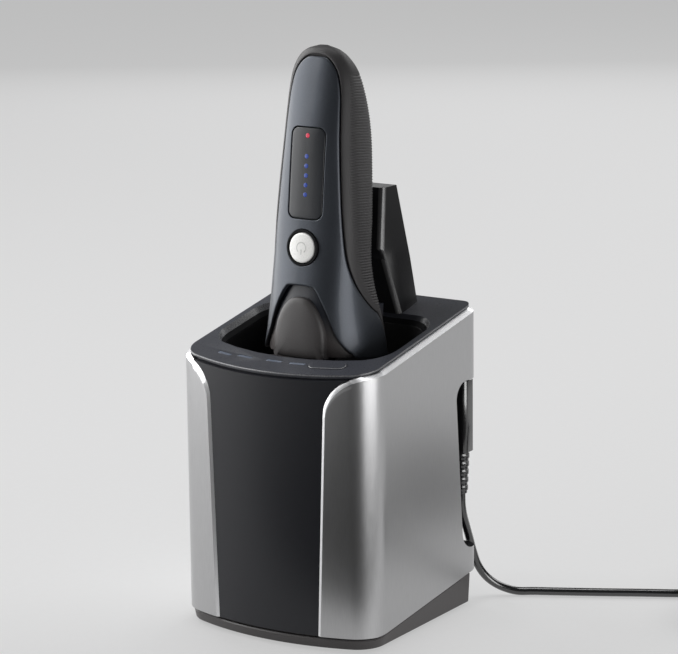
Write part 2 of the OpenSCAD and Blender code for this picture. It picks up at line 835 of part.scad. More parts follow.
module tank_lid() color("dimgray") {
    lip = 1.4;
    plug_w_in = tank_w - 2 * tank_wall - 2 * seam;
    plug_l_in = tank_l - tank_wall - tank_face - 2 - 2 * seam;
    translate([-tank_w / 2, tank_y, tank_z + tank_h]) difference() {
        cube([tank_w, tank_l - tank_face - seam, lid_t]);
        translate([tank_w * 0.28, tank_l * 0.3, -1]) cylinder(d = 11, h = 9);
    }
    translate([-tank_w / 2 + tank_wall + seam, tank_y + tank_wall + seam, tank_z + tank_h - lip])
        difference() {
            cube([plug_w_in, plug_l_in, lip + 0.1]);
            translate([lip, lip, -1]) cube([plug_w_in - 2 * lip, plug_l_in - 2 * lip, 9]);
        }
}

module detergent_cartridge() color("steelblue") {
    d = 20;
    translate([tank_w / 2 - tank_wall - d / 2 - 1.5, tank_y + tank_wall + d / 2 + 1.5, tank_z + tank_wall])
        rotate_extrude() polygon([[0, 0], [d / 2 - 1, 0], [d / 2, 1], [d / 2, 19], [d / 2 - 1, 20], [3, 20],
            [3, 23], [0, 23]]);
}

// A strip of the handle's skin between two depths, on the front or on the back
module skin_sheet(outer, inner, front) {
    n = len(LEVELS) - 1;
    m = sheet_steps;
    row = m + 1;
    skip = (n + 1) * row;
    points = [for (inset = [outer, inner], s = LEVELS, j = [0 : m])
        skin_point(s, mix(first_angle(s, front), last_angle(s, front), j / m), inset)];
    walls = [for (i = [0 : n - 1], j = [0 : m - 1]) let (a = i * row + j, b = a + 1, c = a + row, e = c + 1)
        each [[a, c, e], [a, e, b], [a + skip, e + skip, c + skip], [a + skip, b + skip, e + skip]]];
    sides = [for (i = [0 : n - 1]) let (a = i * row, c = a + row, b = a + m, e = c + m)
        each [[c, a, a + skip], [c, a + skip, c + skip], [b, e, e + skip], [b, e + skip, b + skip]]];
    ends = [for (j = [0 : m - 1]) let (a = j, b = j + 1, c = n * row + j, e = c + 1)
        each [[a, b, b + skip], [a, b + skip, a + skip], [e, c, c + skip], [e, c + skip, e + skip]]];
    polyhedron(points, concat(walls, sides, ends));
}

// The whole handle as one solid, grown or shrunk
module handle_solid(inset) {
    m = 48;
    n = len(LEVELS) - 1;
    points = [for (s = LEVELS, j = [0 : m - 1]) skin_point(s, j * 360 / m, inset)];
    walls = [for (i = [0 : n - 1], j = [0 : m - 1])
        let (a = i * m + j, b = i * m + (j + 1) % m, c = a + m, e = b + m) each [[a, c, e], [a, e, b]]];
    polyhedron(points, concat(walls, [[for (j = [0 : m - 1]) j], [for (j = [m - 1 : -1 : 0]) n * m + j]]));
}

// A prism through the front of the handle from an outline drawn on its face
module through_front() {
    rotate([90, 0, 0]) linear_extrude(60) children();
}

module arch(grow) {
    right = [[23 + grow, -1], [21.2 + grow, 1.4], [18.6 + grow, 3.9], [15.7 + grow, 8.2],
        [13.6 + grow, 13.4], [11.4 + grow, 18.6], [8.8 + grow, 23.6],
        [6.9 + grow, 26.4 + grow / 2], [4.6, 27.7 + grow]];
    left = [for (i = [len(right) - 1 : -1 : 0]) [-right[i][0], right[i][1]]];
    polygon(concat(right, left));
}

module tongue(grow) {
    hull() {
        translate([0, 17.8]) circle(r = 5.5 + grow);
        translate([0, 9]) circle(r = 11.3 + grow);
        translate([-11.3 - grow, -1]) square([22.6 + 2 * grow, 4]);
    }
}

module display_outline(grow) {
    w = display_w / 2 - display_corner_r;
    l = display_l / 2 - display_corner_r;
    translate([0, display_s]) {
        square([2 * w + 2 * display_corner_r + 2 * grow, 2 * l], center = true);
        square([2 * w, 2 * l + 2 * display_corner_r + 2 * grow], center = true);
        for (x = [-w, w], y = [-l, l]) translate([x, y]) circle(display_corner_r + grow);
    }
}

module front_cover() color([0.22, 0.24, 0.28]) {
    in_shaver() difference() {
        skin_sheet(0, cover_t, true);
        through_front() arch(0);
        through_front() display_outline(0);
        through_front() translate([0, button_s]) circle(d = button_d + 2 * ring_wall + 2 * seam + 0.6);
    }
}

module rear_grip() color([0.17, 0.16, 0.15]) {
    in_shaver() difference() {
        skin_sheet(0, cover_t, false);
        for (x = [-contact_x, contact_x]) translate([x, 0, contact_s]) rotate([-90, 0, 0])
            cylinder(d = terminal_d + 2 * seam, h = far);
    }
}

module neck_panel() color([0.1, 0.11, 0.14]) {
    in_shaver() intersection() {
        skin_sheet(1, 2.8, true);
        through_front() difference() {
            arch(-seam);
            tongue(seam);
        }
        translate([-far / 2, -far / 2, 0.3]) cube(far);
    }
}

module finger_rest() color([0.27, 0.25, 0.24]) {
    in_shaver() intersection() {
        skin_sheet(-0.8, 2.6, true);
        through_front() tongue(0);
        translate([-far / 2, -far / 2, 0.3]) cube(far);
    }
}

module display_window() color([0.12, 0.13, 0.15]) {
    in_shaver() intersection() {
        skin_sheet(0.1, 1.4, true);
        through_front() display_outline(-seam);
    }
}

module indicator_lamps() color("blue") {
    in_shaver() for (s = indicator_s) translate([0, front_v + 1.9, s]) rotate([-90, 0, 0])
        cylinder(d = 1.8, h = board_front_v - front_v - 1.9);
}

module button_ring() color("black") {
    in_shaver() translate([0, front_v - 0.6, button_s]) rotate([-90, 0, 0]) difference() {
        cylinder(d = button_d + 2 * ring_wall + 0.6, h = 3.4);
        translate([0, 0, -1]) cylinder(d = button_d + 2 * slide_gap, h = 9);
    }
}

module power_button() color("white") {
    in_shaver() translate([0, front_v - 0.8, button_s]) rotate([-90, 0, 0]) rotate_extrude()
        polygon([[0, 0], [button_d / 2 - 0.8, 0.1], [button_d / 2, 0.8], [button_d / 2, 3],
            [2, 3], [2, board_front_v - front_v - button_travel - 0.6], [0, board_front_v - front_v
            - button_travel - 0.6]]);
}

module chassis() color("gray") {
    sleeve_d = post_d + 6;
    in_shaver() {
        difference() {
            union() {
                translate([-13, chassis_front_v, sleeve_low_s]) cube([26, chassis_t, handle_len - 36]);
                translate([0, head_v, sleeve_low_s]) cylinder(d = sleeve_d, h = post_collar_s - sleeve_low_s);
                translate([-sleeve_d / 2, chassis_front_v, sleeve_low_s])
                    cube([sleeve_d, head_v - chassis_front_v, post_collar_s - sleeve_low_s]);
            }
            translate([0, head_v, 0]) cylinder(d = post_d + 2 * run_gap, h = post_collar_s + 0.1);
            translate([0, head_v, post_collar_s]) cylinder(d = post_d + 6, h = 6);
        }
        for (side = [-1, 1]) translate([side * 12 - 1, chassis_front_v, battery_s - 2])
            cube([2, 9, battery_l + 4]);
    }
}

module main_board() color("darkgreen") {
    in_shaver() {
        translate([-10.5, board_front_v, 33]) cube([21, board_t, handle_len - 53]);
        translate([-3, board_front_v - 0.5, button_s - 3]) cube([6, 0.6, 6]);
        for (x = [-8, 8], s = [36, handle_len - 32]) translate([x, board_front_v + board_t - 0.1, s])
            rotate([-90, 0, 0]) cylinder(d = 3, h = 0.9);
    }
}

module battery() color("seagreen") {
    in_shaver() translate([0, chassis_front_v + chassis_t + battery_d / 2 + 0.1, battery_s]) {
        cylinder(d = battery_d, h = battery_l);
        cylinder(d = 5, h = battery_l + 1);
    }
}

module charge_terminals() color("gold") {
    in_shaver() for (x = [-contact_x, contact_x]) translate([x, back_v - 4, contact_s]) rotate([-90, 0, 0]) {
        cylinder(d = terminal_d, h = 4 + terminal_proud);
        cylinder(d = terminal_d + 1.6, h = 1.6);
    }
}

module round_slab(w, d, r, h) {
    linear_extrude(h) {
        square([w - 2 * r, d], center = true);
        square([w, d - 2 * r], center = true);
        for (x = [-1, 1], y = [-1, 1]) translate([x * (w / 2 - r), y * (d / 2 - r)]) circle(r);
    }
}

module neck_seal() color([0.08, 0.08, 0.09]) {
    rib = 1.2;
    low_s = -0.2;
    in_shaver() difference() {
        for (i = [0 : 3]) translate([0, head_v + 0.3, low_s + i * rib]) round_slab(neck_w - 16 + 2 * (i % 2),
            handle_d - 10 + 2 * (i % 2), 8, sleeve_low_s - seam - low_s - i * rib);
        translate([0, head_v, -far / 2]) cylinder(d = post_d + 1.6, h = far);
    }
}

module trimmer_guide() color([0.1, 0.1, 0.11]) {
    rail = 2;
    in_shaver() difference() {
        translate([-trimmer_half_w - rail - slide_gap, 4, trimmer_low_s])
            cube([2 * (trimmer_half_w + rail + slide_gap), trimmer_v - 4 + 1.8, trimmer_l]);
        handle_solid(-0.05);
        translate([-trimmer_half_w - slide_gap, trimmer_v, 0])
            cube([2 * (trimmer_half_w + slide_gap), 9, far]);
    }
}

module trimmer_slide() color("silver") {
    teeth = 14;
    tooth_l = 2.2;
    pitch = (2 * trimmer_half_w - 4) / (teeth - 1);
    in_shaver() translate([0, trimmer_v + 0.15, trimmer_low_s]) {
        translate([-trimmer_half_w, 0, 0]) cube([2 * trimmer_half_w, 1.5, trimmer_l - 1]);
        for (i = [0 : teeth - 1]) translate([-trimmer_half_w + 2 + i * pitch - 0.5, 0, -tooth_l])
            cube([1, 1, tooth_l + 0.1]);
        for (i = [0 : 2]) translate([-6, 1.4, 8 + 2 * i]) cube([12, 0.7, 1]);
    }
}

module head_post() color("gray") {
    in_shaver() translate([0, head_v, 0]) {
        translate([0, 0, post_low_s]) cylinder(d = post_d, h = post_collar_s - post_low_s + 2);
        translate([0, 0, post_collar_s + 0.15]) cylinder(d = post_d + 3, h = 1.85);
        translate([0, 0, gimbal_s]) rotate([0, 90, 0]) cylinder(d = gimbal_pin_d,
            h = 2 * (ring_in_x + ring_wall_x) - 0.4, center = true);
    }
}

module gimbal_ring() color("silver") {
    out_v = ring_in_v + ring_wall_v;
    in_shaver() translate([0, head_v, gimbal_s]) {
        difference() {
            translate([0, 0, -ring_h / 2]) round_slab(2 * (ring_in_x + ring_wall_x), 2 * out_v, 2, ring_h);
            cube([2 * ring_in_x, 2 * ring_in_v, far], center = true);
            rotate([0, 90, 0]) cylinder(d = gimbal_pin_d + 2 * run_gap, h = far, center = true);
        }
        for (turn = [0, 180]) rotate([0, 0, turn]) translate([0, out_v - 0.3, 0]) rotate([-90, 0, 0])
            cylinder(d = gimbal_pin_d, h = head_d / 2 - head_wall - out_v);
    }
}

module head_frame() color([0.14, 0.14, 0.15]) {
    out_v = ring_in_v + ring_wall_v;
    inner_v = head_d / 2 - head_wall;
    in_shaver() translate([0, head_v, 0]) difference() {
        union() {
            difference() {
                translate([0, 0, head_low_s]) round_slab(head_w, head_d, head_corner_r, head_frame_h);
                translate([0, 0, head_low_s - 1]) round_slab(head_w - 2 * head_wall, head_d - 2 * head_wall,
                    head_corner_r - head_wall, head_frame_h + 1 - head_plate_t);
            }
            for (turn = [0, 180]) rotate([0, 0, turn]) translate([-4, out_v + 0.5, gimbal_s - 4])
                cube([8, inner_v - out_v - 0.4, head_top_s - head_plate_t - gimbal_s + 4.1]);
        }
        translate([0, 0, -far / 2]) cylinder(d = post_d + 5, h = far);
        translate([0, 0, gimbal_s]) rotate([90, 0, 0]) cylinder(d = gimbal_pin_d + 2 * run_gap,
            h = 2 * inner_v + 0.2, center = true);
        for (side = [-1, 1]) translate([side * head_w / 2, 0, release_s])
            cube([12, 9 + 2 * slide_gap, 6 + 2 * slide_gap], center = true);
    }
}

module linear_motor() color("darkgray") {
    w = head_w - 2 * head_wall - 0.4;
    in_shaver() translate([0, head_v, motor_top_s]) {
        translate([-w / 2, -8, -2]) cube([w, 16, 2]);
        translate([-22, -10, -motor_h]) cube([44, 20, motor_h - 1.8]);
        for (x = [-14, 14]) translate([x, 10, -motor_h / 2 - 0.5]) rotate([90, 0, 0])
            cylinder(d = motor_h - 3, h = 21.4);
    }
}

module blade_row(v) {
    pitch = 2 * (foil_half_l - 3.4) / (blade_count - 1);
    spine_h = carrier_top_s - carrier_t - foil_s - 2.6;
    translate([0, v, 0]) {
        translate([-foil_half_l + 2.6, -1.4, foil_s + 2.6]) cube([2 * foil_half_l - 5.2, 2.8, spine_h + 0.1]);
        for (i = [0 : blade_count - 1]) translate([-foil_half_l + 3.4 + i * pitch - blade_t / 2, 0, foil_s])
            rotate([90, 0, 90]) linear_extrude(blade_t) {
                intersection() {
                    circle(blade_r);
                    translate([-blade_r, -blade_r]) square([2 * blade_r, blade_r]);
                }
                translate([-blade_r, 0]) square([2 * blade_r, 2.8]);
            }
    }
}

module outer_blade_carrier() color("lightsteelblue") {
    bar = 6.4;
    in_shaver() translate([0, head_v, 0]) {
        for (side = [-1, 1]) {
            translate([-24, side * foil_pitch - bar / 2, carrier_top_s - carrier_t])
                cube([48, bar, carrier_t]);
            translate([side * 22.6 - 1.4, -foil_pitch, carrier_top_s - carrier_t / 2])
                cube([2.8, 2 * foil_pitch, carrier_t / 2]);
            blade_row(side * foil_pitch);
        }
    }
}

module center_blade_carrier() color("lightsteelblue") {
    bar = 7;
    in_shaver() translate([0, head_v, 0]) {
        translate([-19.6, -bar / 2, carrier_top_s - carrier_t]) cube([39.2, bar, carrier_t]);
        blade_row(0);
    }
}

module foil_frame() color([0.2, 0.2, 0.21]) {
    slot_w = 2 * foil_pitch + 2 * foil_r + 0.1;
    in_shaver() translate([0, head_v, head_low_s - foil_frame_h]) difference() {
        round_slab(head_w - 1.6, head_d - 1, head_corner_r - 0.8, foil_frame_h);
        translate([-foil_half_l - 0.1, -slot_w / 2, -1]) cube([2 * foil_half_l + 0.2, slot_w, far]);
    }
}

module foils() color("silver") {
    leg = 5.4;
    in_shaver() for (v = [-foil_pitch, 0, foil_pitch]) translate([-foil_half_l, head_v + v, foil_s])
        rotate([90, 0, 90]) linear_extrude(2 * foil_half_l) difference() {
            union() {
                circle(foil_r);
                translate([-foil_r, 0]) square([2 * foil_r, leg]);
            }
            circle(foil_r - foil_t);
            translate([-foil_r + foil_t, 0]) square([2 * (foil_r - foil_t), leg + 1]);
        }
}

module release_button(side) {
    in_shaver() translate([side * (head_w / 2 - 0.8), head_v, release_s]) {
        cube([3.4, 9, 6], center = true);
        translate([-side * 1.6, 0, 0]) cube([0.9, 10.6, 6], center = true);
        for (i = [-1 : 1]) translate([side * 1.6, 0, 1.6 * i]) cube([0.8, 7, 0.7], center = true);
    }
}

module release_button_left() color("gray") release_button(-1);

module release_button_right() color("gray") release_button(1);

module dc_plug() color([0.06, 0.06, 0.07]) {
    ribs = 5;
    relief_top_z = plug_top_z - plug_body_l;
    translate([plug_x, plug_y, relief_top_z]) {
        round_slab(plug_w, plug_depth, 2.2, plug_body_l);
        translate([0, 0, -relief_l]) cylinder(d1 = cord_d + 1.4, d2 = 6.4, h = relief_l + 0.1);
        for (i = [0 : ribs - 1]) translate([0, 0, -relief_l + 1.4 + i * 3.4])
            cylinder(d = 5.6 + 0.3 * i, h = 1.8);
    }
    for (x = prong_places()) translate([x, plug_y - 1.6, plug_top_z - 0.1]) cylinder(d = prong_d, h = 8);
}

// A round tube swept along a route, with a flat end at each side
module cord_tube(route) {
    sides = 8;
    n = len(route) - 1;
    points = [for (i = [0 : n]) let (
        ahead = route[min(i + 1, n)] - route[max(i - 1, 0)],
        dir = ahead / norm(ahead),
        ref = abs(dir[2]) > 0.9 ? [0, 1, 0] : [0, 0, 1],
        u = cross(dir, ref) / norm(cross(dir, ref)),
        w = cross(u, dir)
    ) each [for (j = [0 : sides - 1]) route[i] + cord_d / 2 * (cos(j * 360 / sides) * u
        + sin(j * 360 / sides) * w)]];
    walls = [for (i = [0 : n - 1], j = [0 : sides - 1])
        let (a = i * sides + j, b = i * sides + (j + 1) % sides) each [[a, a + sides, b + sides],
            [a, b + sides, b]]];
    polyhedron(points, concat(walls, [[for (j = [0 : sides - 1]) j],
        [for (j = [sides - 1 : -1 : 0]) n * sides + j]]));
}

module cord_lead() color("black") {
    cord_tube(LEAD);
    cord_tube(TAIL);
}

module cord_coil() color("black") {
    translate([coil_x, coil_y, 0]) rotate_extrude() translate([coil_mid_r - coil_band / 2, 0.1])
        square([coil_band, coil_h]);
}

module ac_adaptor() color("black") {
    w = 38;
    l = 42;
    h = 28;
    relief = 12;
    blade_l = 17;
    blade_gap = 12.7;
    translate([adaptor_x, adaptor_y + relief, adaptor_exit_z]) rotate([90, 0, 0])
        cylinder(d1 = 7, d2 = cord_d + 1, h = relief);
    translate([adaptor_x, adaptor_y + relief + l / 2 - 0.1, 0]) round_slab(w, l, 5, h);
    for (side = [-1, 1])
        translate([adaptor_x + side * blade_gap / 2 - 0.8, adaptor_y + relief + l / 2, h - 0.2])
            cube([1.6, 6.4, blade_l]);
}

base_tray();
rubber_feet();
base_screws();
left_shell();
right_shell();
front_panel();
rear_panel();
top_bezel();
lamp_windows();
select_button();
control_board();
cleaning_tray();
contact_tower();
contact_pin_left();
contact_pin_right();
cord_bay();
inlet_socket();
pump_housing();
pump_impeller();
pump_motor();
supply_pipe();
fan_housing();
fan_impeller();
heater();
water_tank();
tank_lid();
detergent_cartridge();
front_cover();
rear_grip();
neck_panel();
finger_rest();
display_window();
indicator_lamps();
button_ring();
power_button();
chassis();
main_board();
battery();
charge_terminals();
neck_seal();
trimmer_guide();
trimmer_slide();
head_post();
gimbal_ring();
head_frame();
linear_motor();
outer_blade_carrier();
center_blade_carrier();
foil_frame();
foils();
release_button_left();
release_button_right();
dc_plug();
cord_lead();
cord_coil();
ac_adaptor();
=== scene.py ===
import json
import math
import bmesh
import bpy
import numpy as np
from mathutils import Matrix, Vector

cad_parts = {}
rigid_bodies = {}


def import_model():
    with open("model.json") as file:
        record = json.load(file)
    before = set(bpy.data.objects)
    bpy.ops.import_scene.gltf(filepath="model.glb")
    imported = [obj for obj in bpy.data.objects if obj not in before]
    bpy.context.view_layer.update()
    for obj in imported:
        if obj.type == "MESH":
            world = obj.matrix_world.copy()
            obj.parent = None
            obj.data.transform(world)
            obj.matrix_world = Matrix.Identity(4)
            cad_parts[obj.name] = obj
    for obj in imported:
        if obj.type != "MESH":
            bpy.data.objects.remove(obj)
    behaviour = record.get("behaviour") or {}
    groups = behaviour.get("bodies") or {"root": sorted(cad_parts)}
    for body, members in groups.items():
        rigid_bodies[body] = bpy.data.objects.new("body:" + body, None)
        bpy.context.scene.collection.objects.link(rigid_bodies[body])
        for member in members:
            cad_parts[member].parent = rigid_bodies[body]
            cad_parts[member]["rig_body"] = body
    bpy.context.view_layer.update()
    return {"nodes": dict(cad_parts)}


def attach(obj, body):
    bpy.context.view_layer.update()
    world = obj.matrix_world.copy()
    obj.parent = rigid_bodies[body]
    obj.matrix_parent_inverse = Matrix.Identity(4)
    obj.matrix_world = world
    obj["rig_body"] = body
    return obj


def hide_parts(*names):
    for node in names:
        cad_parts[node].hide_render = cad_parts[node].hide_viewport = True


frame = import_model()
NODES = frame["nodes"]
SCENE = bpy.context.scene
SLOT_OF = {name: node.data.materials[0].name for name, node in NODES.items()}

# Sizes are in millimetres until a mesh is made, and angles in degrees. The stage is in metres.
MM = 0.001


# Camera and light

SENSOR_MM = 36.0
LENS_MM = 157.3
AZIMUTH, ELEVATION, ROLL = 33.07, 12.51, -0.662
DISTANCE = 1185.8
TARGET = Vector((7.72, 0.0, 120.79))
NEAR_CLIP, FAR_CLIP = 0.01, 60.0


def turned(degrees):
    """Sine and cosine of an angle."""
    return math.sin(math.radians(degrees)), math.cos(math.radians(degrees))


def placed(name, data):
    """A new object in the scene."""
    obj = bpy.data.objects.new(name, data)
    SCENE.collection.objects.link(obj)
    return obj


def place_camera():
    """The camera as fitted to the photograph."""
    sin_a, cos_a = turned(AZIMUTH)
    sin_e, cos_e = turned(ELEVATION)
    sin_r, cos_r = turned(ROLL)
    back = Vector((sin_a * cos_e, -cos_a * cos_e, sin_e))
    level = Vector((cos_a, sin_a, 0.0))
    up = back.cross(level)
    right = level * cos_r + up * sin_r
    data = bpy.data.cameras.new("camera")
    data.sensor_width = SENSOR_MM
    data.lens = LENS_MM
    data.clip_start, data.clip_end = NEAR_CLIP, FAR_CLIP
    camera = placed("camera", data)
    matrix = Matrix((right, back.cross(right), back)).transposed().to_4x4()
    matrix.translation = (TARGET + back * DISTANCE) * MM
    camera.matrix_world = matrix
    SCENE.camera = camera


def area_light(name, place, aim, size, power):
    """A soft lamp that the camera doesn't see."""
    data = bpy.data.lights.new(name, "AREA")
    data.shape = "RECTANGLE"
    data.size, data.size_y = size
    data.energy = power
    light = placed(name, data)
    light.visible_camera = False
    light.location = place
    light.rotation_euler = (Vector(aim) - Vector(place)).to_track_quat("-Z", "Y").to_euler()
    return light


def keep_off(lights, obj):
    """Screens an object from some lamps, so that they make no bright pool on it."""
    screened = bpy.data.collections.new("screened")
    screened.objects.link(obj)
    screened.collection_objects[0].light_linking.link_state = "EXCLUDE"
    for light in lights:
        light.light_linking.receiver_collection = screened


def set_world(color, strength):
    """A weak even light from all round."""
    world = bpy.data.worlds.new("studio")
    SCENE.world = world
    world.use_nodes = True
    put(world.node_tree.nodes["Background"], {"Color": (*color, 1.0), "Strength": strength})


# Materials

def put(node, values):
    """Sets inputs of a shader node."""
    for name, value in values.items():
        node.inputs[name].default_value = value


GRAIN_DETAIL = 4.0
GRAIN_LOW, GRAIN_HIGH = 0.3, 0.7
LEAST_ROUGH, COAT_ROUGH = 0.02, 0.12


def paint(name, color, rough, metal=0.0, coat=0.0, spread=0.12, grain=900.0, stretch=(1, 1, 1),
          relief=0.01, rough_spread=0.06, glow=0.0, clear=0.0, above=None, shine=0.5):
    """A procedural finish with fine grain in its colour, gloss and surface. Another colour can take over
    above a height, used as painted shade: (colour, from, to)."""
    mat = bpy.data.materials.new("look_" + name)
    mat.use_nodes = True
    tree = mat.node_tree
    new, link = tree.nodes.new, tree.links.new
    shader = tree.nodes["Principled BSDF"]
    place = new("ShaderNodeTexCoord")
    scale = new("ShaderNodeMapping")
    put(scale, {"Scale": stretch})
    noise = new("ShaderNodeTexNoise")
    put(noise, {"Scale": grain, "Detail": GRAIN_DETAIL})
    ramp = new("ShaderNodeValToRGB")
    low, high = ramp.color_ramp.elements
    low.position, high.position = GRAIN_LOW, GRAIN_HIGH
    low.color = (*[c * (1 - spread) for c in color], 1.0)
    high.color = (*[min(1.0, c * (1 + spread)) for c in color], 1.0)
    gloss = new("ShaderNodeMapRange")
    put(gloss, {"From Min": GRAIN_LOW, "From Max": GRAIN_HIGH,
                "To Min": max(LEAST_ROUGH, rough - rough_spread), "To Max": rough + rough_spread})
    bump = new("ShaderNodeBump")
    put(bump, {"Distance": relief * MM, "Strength": 1.0})
    link(place.outputs["Object"], scale.inputs["Vector"])
    link(scale.outputs["Vector"], noise.inputs["Vector"])
    link(noise.outputs["Fac"], ramp.inputs["Fac"])
    link(noise.outputs["Fac"], gloss.inputs["Value"])
    link(noise.outputs["Fac"], bump.inputs["Height"])
    if above is None:
        link(ramp.outputs["Color"], shader.inputs["Base Color"])
    else:
        shade_color, start, end = above
        split = new("ShaderNodeSeparateXYZ")
        height = new("ShaderNodeMapRange")
        put(height, {"From Min": start * MM, "From Max": end * MM})
        mix = new("ShaderNodeMix")
        mix.data_type = "RGBA"
        put(mix, {"B": (*shade_color, 1.0)})
        link(place.outputs["Object"], split.inputs["Vector"])
        link(split.outputs["Z"], height.inputs["Value"])
        link(height.outputs["Result"], mix.inputs["Factor"])
        link(ramp.outputs["Color"], mix.inputs["A"])
        link(mix.outputs["Result"], shader.inputs["Base Color"])
    link(gloss.outputs["Result"], shader.inputs["Roughness"])
    link(bump.outputs["Normal"], shader.inputs["Normal"])
    put(shader, {"Metallic": metal, "Specular IOR Level": shine, "Coat Weight": coat,
                 "Coat Roughness": COAT_ROUGH, "Transmission Weight": clear})
    if glow:
        put(shader, {"Emission Color": (*color, 1.0), "Emission Strength": glow})
    return mat


LOOK = {}


def look(slot, *basics, **options):
    """The finish of a material slot."""
    LOOK[slot] = paint(slot, *basics, **options)


look("dark_base", (0.078, 0.073, 0.073), 0.45, grain=2400, relief=0.012)
look("foot_rubber", (0.018, 0.018, 0.019), 0.8, grain=1500, relief=0.02)
look("steel", (0.58, 0.58, 0.57), 0.3, metal=1.0, grain=700, stretch=(1, 1, 8))
look("silver_shell", (0.48, 0.48, 0.485), 0.31, metal=1.0, grain=4200, stretch=(1, 1, 0.05), spread=0.04,
     relief=0.001, rough_spread=0.02)
look("black_panel", (0.013, 0.0135, 0.017), 0.34, grain=2600, relief=0.006, shine=0.42)
look("slate_top", (0.042, 0.0445, 0.054), 0.32, grain=2600, relief=0.006)
look("lamp_lens", (0.13, 0.15, 0.19), 0.2, grain=1200, relief=0.004)
look("circuit_board", (0.015, 0.10, 0.045), 0.4, grain=420, spread=0.4)
look("tray_plastic", (0.012, 0.012, 0.013), 0.45, grain=2200)
look("gold_contact", (0.83, 0.60, 0.24), 0.22, metal=1.0, grain=1500)
look("pump_plastic", (0.58, 0.58, 0.56), 0.45, grain=1800)
look("ceramic", (0.52, 0.44, 0.33), 0.75, grain=900, spread=0.2, relief=0.03)
look("tank_smoke", (0.20, 0.215, 0.24), 0.14, clear=0.5, grain=300, relief=0.003)
look("cartridge_blue", (0.05, 0.14, 0.36), 0.4, grain=1700)
look("gunmetal_lacquer", (0.049, 0.055, 0.066), 0.42, metal=0.65, coat=0.15, grain=5200, spread=0.22,
     relief=0.002)
look("grip_rubber", (0.030, 0.028, 0.029), 0.55, grain=2600, relief=0.012)
# Above 118 to 128 mm the panel turns near-black navy: painted shade under the arch's top edge, in the navy of
# the lacquer round it
look("navy_recess", (0.060, 0.053, 0.052), 0.42, grain=2200, relief=0.006,
     above=((0.010, 0.012, 0.019), 118.0, 128.0))
look("rest_rubber", (0.052, 0.048, 0.048), 0.5, grain=2600, relief=0.012)
look("display_smoke", (0.024, 0.026, 0.030), 0.34, grain=2600, spread=0.05, relief=0.0004, shine=0.35)
look("white_button", (0.93, 0.925, 0.90), 0.3, coat=0.3, grain=1600, spread=0.03)
look("battery_wrap", (0.04, 0.17, 0.10), 0.3, grain=600)
look("blade_steel", (0.60, 0.60, 0.60), 0.25, metal=1.0, grain=900)
look("foil_steel", (0.62, 0.62, 0.61), 0.3, metal=1.0, grain=2600, spread=0.3, relief=0.05)
look("cord_black", (0.010, 0.010, 0.011), 0.2, coat=0.6, grain=1800, relief=0.002, shine=1.0)
POLISHED = paint("polished_edge", (0.80, 0.80, 0.81), 0.4, metal=1.0, grain=5000, spread=0.03,
                 relief=0.0, rough_spread=0.02)
TOWER = paint("tower_black", (0.006, 0.006, 0.007), 0.36, grain=2400, relief=0.004, shine=0.3)
# A lighter colour on the tower's rounded front corners: a painted highlight
TOWER_PAINTED_HIGHLIGHT = paint("tower_painted_highlight", (0.03, 0.03, 0.031), 0.32, grain=2400, relief=0.001, shine=0.8)
# A lighter slate for the rounded edges, the lip and the well's chamfer: a painted highlight
SLATE_PAINTED_HIGHLIGHT = paint("slate_painted_highlight", (0.15, 0.152, 0.16), 0.28, grain=2600, relief=0.001, shine=1.0)
# Near black, for the button ring and the bay's cut faces, and as painted shade down in the well
DARK_TRIM_AND_SHADE = paint("dark_trim_and_shade", (0.006, 0.006, 0.007), 0.7, grain=2000, shine=0.15)
RED_LIGHT = paint("red_light", (0.52, 0.008, 0.045), 0.3, grain=2000, glow=0.35)
BLUE_LIGHT = paint("blue_light", (0.007, 0.035, 0.24), 0.3, grain=2000, glow=0.3)
SYMBOL = paint("symbol_grey", (0.66, 0.66, 0.64), 0.4, grain=2000)
FLOOR = paint("pale_floor", (0.40, 0.40, 0.402), 0.8, grain=300, spread=0.01, relief=0.0, shine=0.0)
FLAG = paint("black_flag", (0.02, 0.02, 0.02), 0.9, grain=300, shine=0.0)
STRAP = paint("tie_strap", (0.02, 0.02, 0.021), 0.6, grain=1400, relief=0.03)


# Meshes

# Distances in metres, the angles from which shading is sharp and edges are rounded, and the angle up to
# which neighbouring faces count as one
WELD, ON_PLANE = 1e-6, 1e-7
SHARP, SHARP_CAD, SHARP_FLAT = 35.0, 20.0, 14.0
EDGE_ANGLE, FLAT_ANGLE = 32.0, 0.4


def finished(name, verts, faces, mats, indices=None, sharp=SHARP):
    """A smooth-shaded object from points in millimetres."""
    mesh = bpy.data.meshes.new(name)
    mesh.from_pydata([tuple(float(c) * MM for c in v) for v in verts], [], faces)
    for mat in mats:
        mesh.materials.append(mat)
    if indices is not None:
        mesh.polygons.foreach_set("material_index", indices)
    mesh.validate()
    bm = bmesh.new()
    bm.from_mesh(mesh)
    bmesh.ops.remove_doubles(bm, verts=bm.verts, dist=WELD)
    bmesh.ops.recalc_face_normals(bm, faces=bm.faces)
    bm.to_mesh(mesh)
    bm.free()
    mesh.shade_smooth()
    mesh.set_sharp_from_angle(angle=math.radians(sharp))
    return placed(name, mesh)


def stands_for(obj, node):
    """obj takes the place of a CAD node, on its body."""
    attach(obj, NODES[node]["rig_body"])
    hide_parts(node)
    return obj


def goes_with(obj, node):
    """obj is an added piece on the body of a CAD node."""
    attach(obj, NODES[node]["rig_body"])


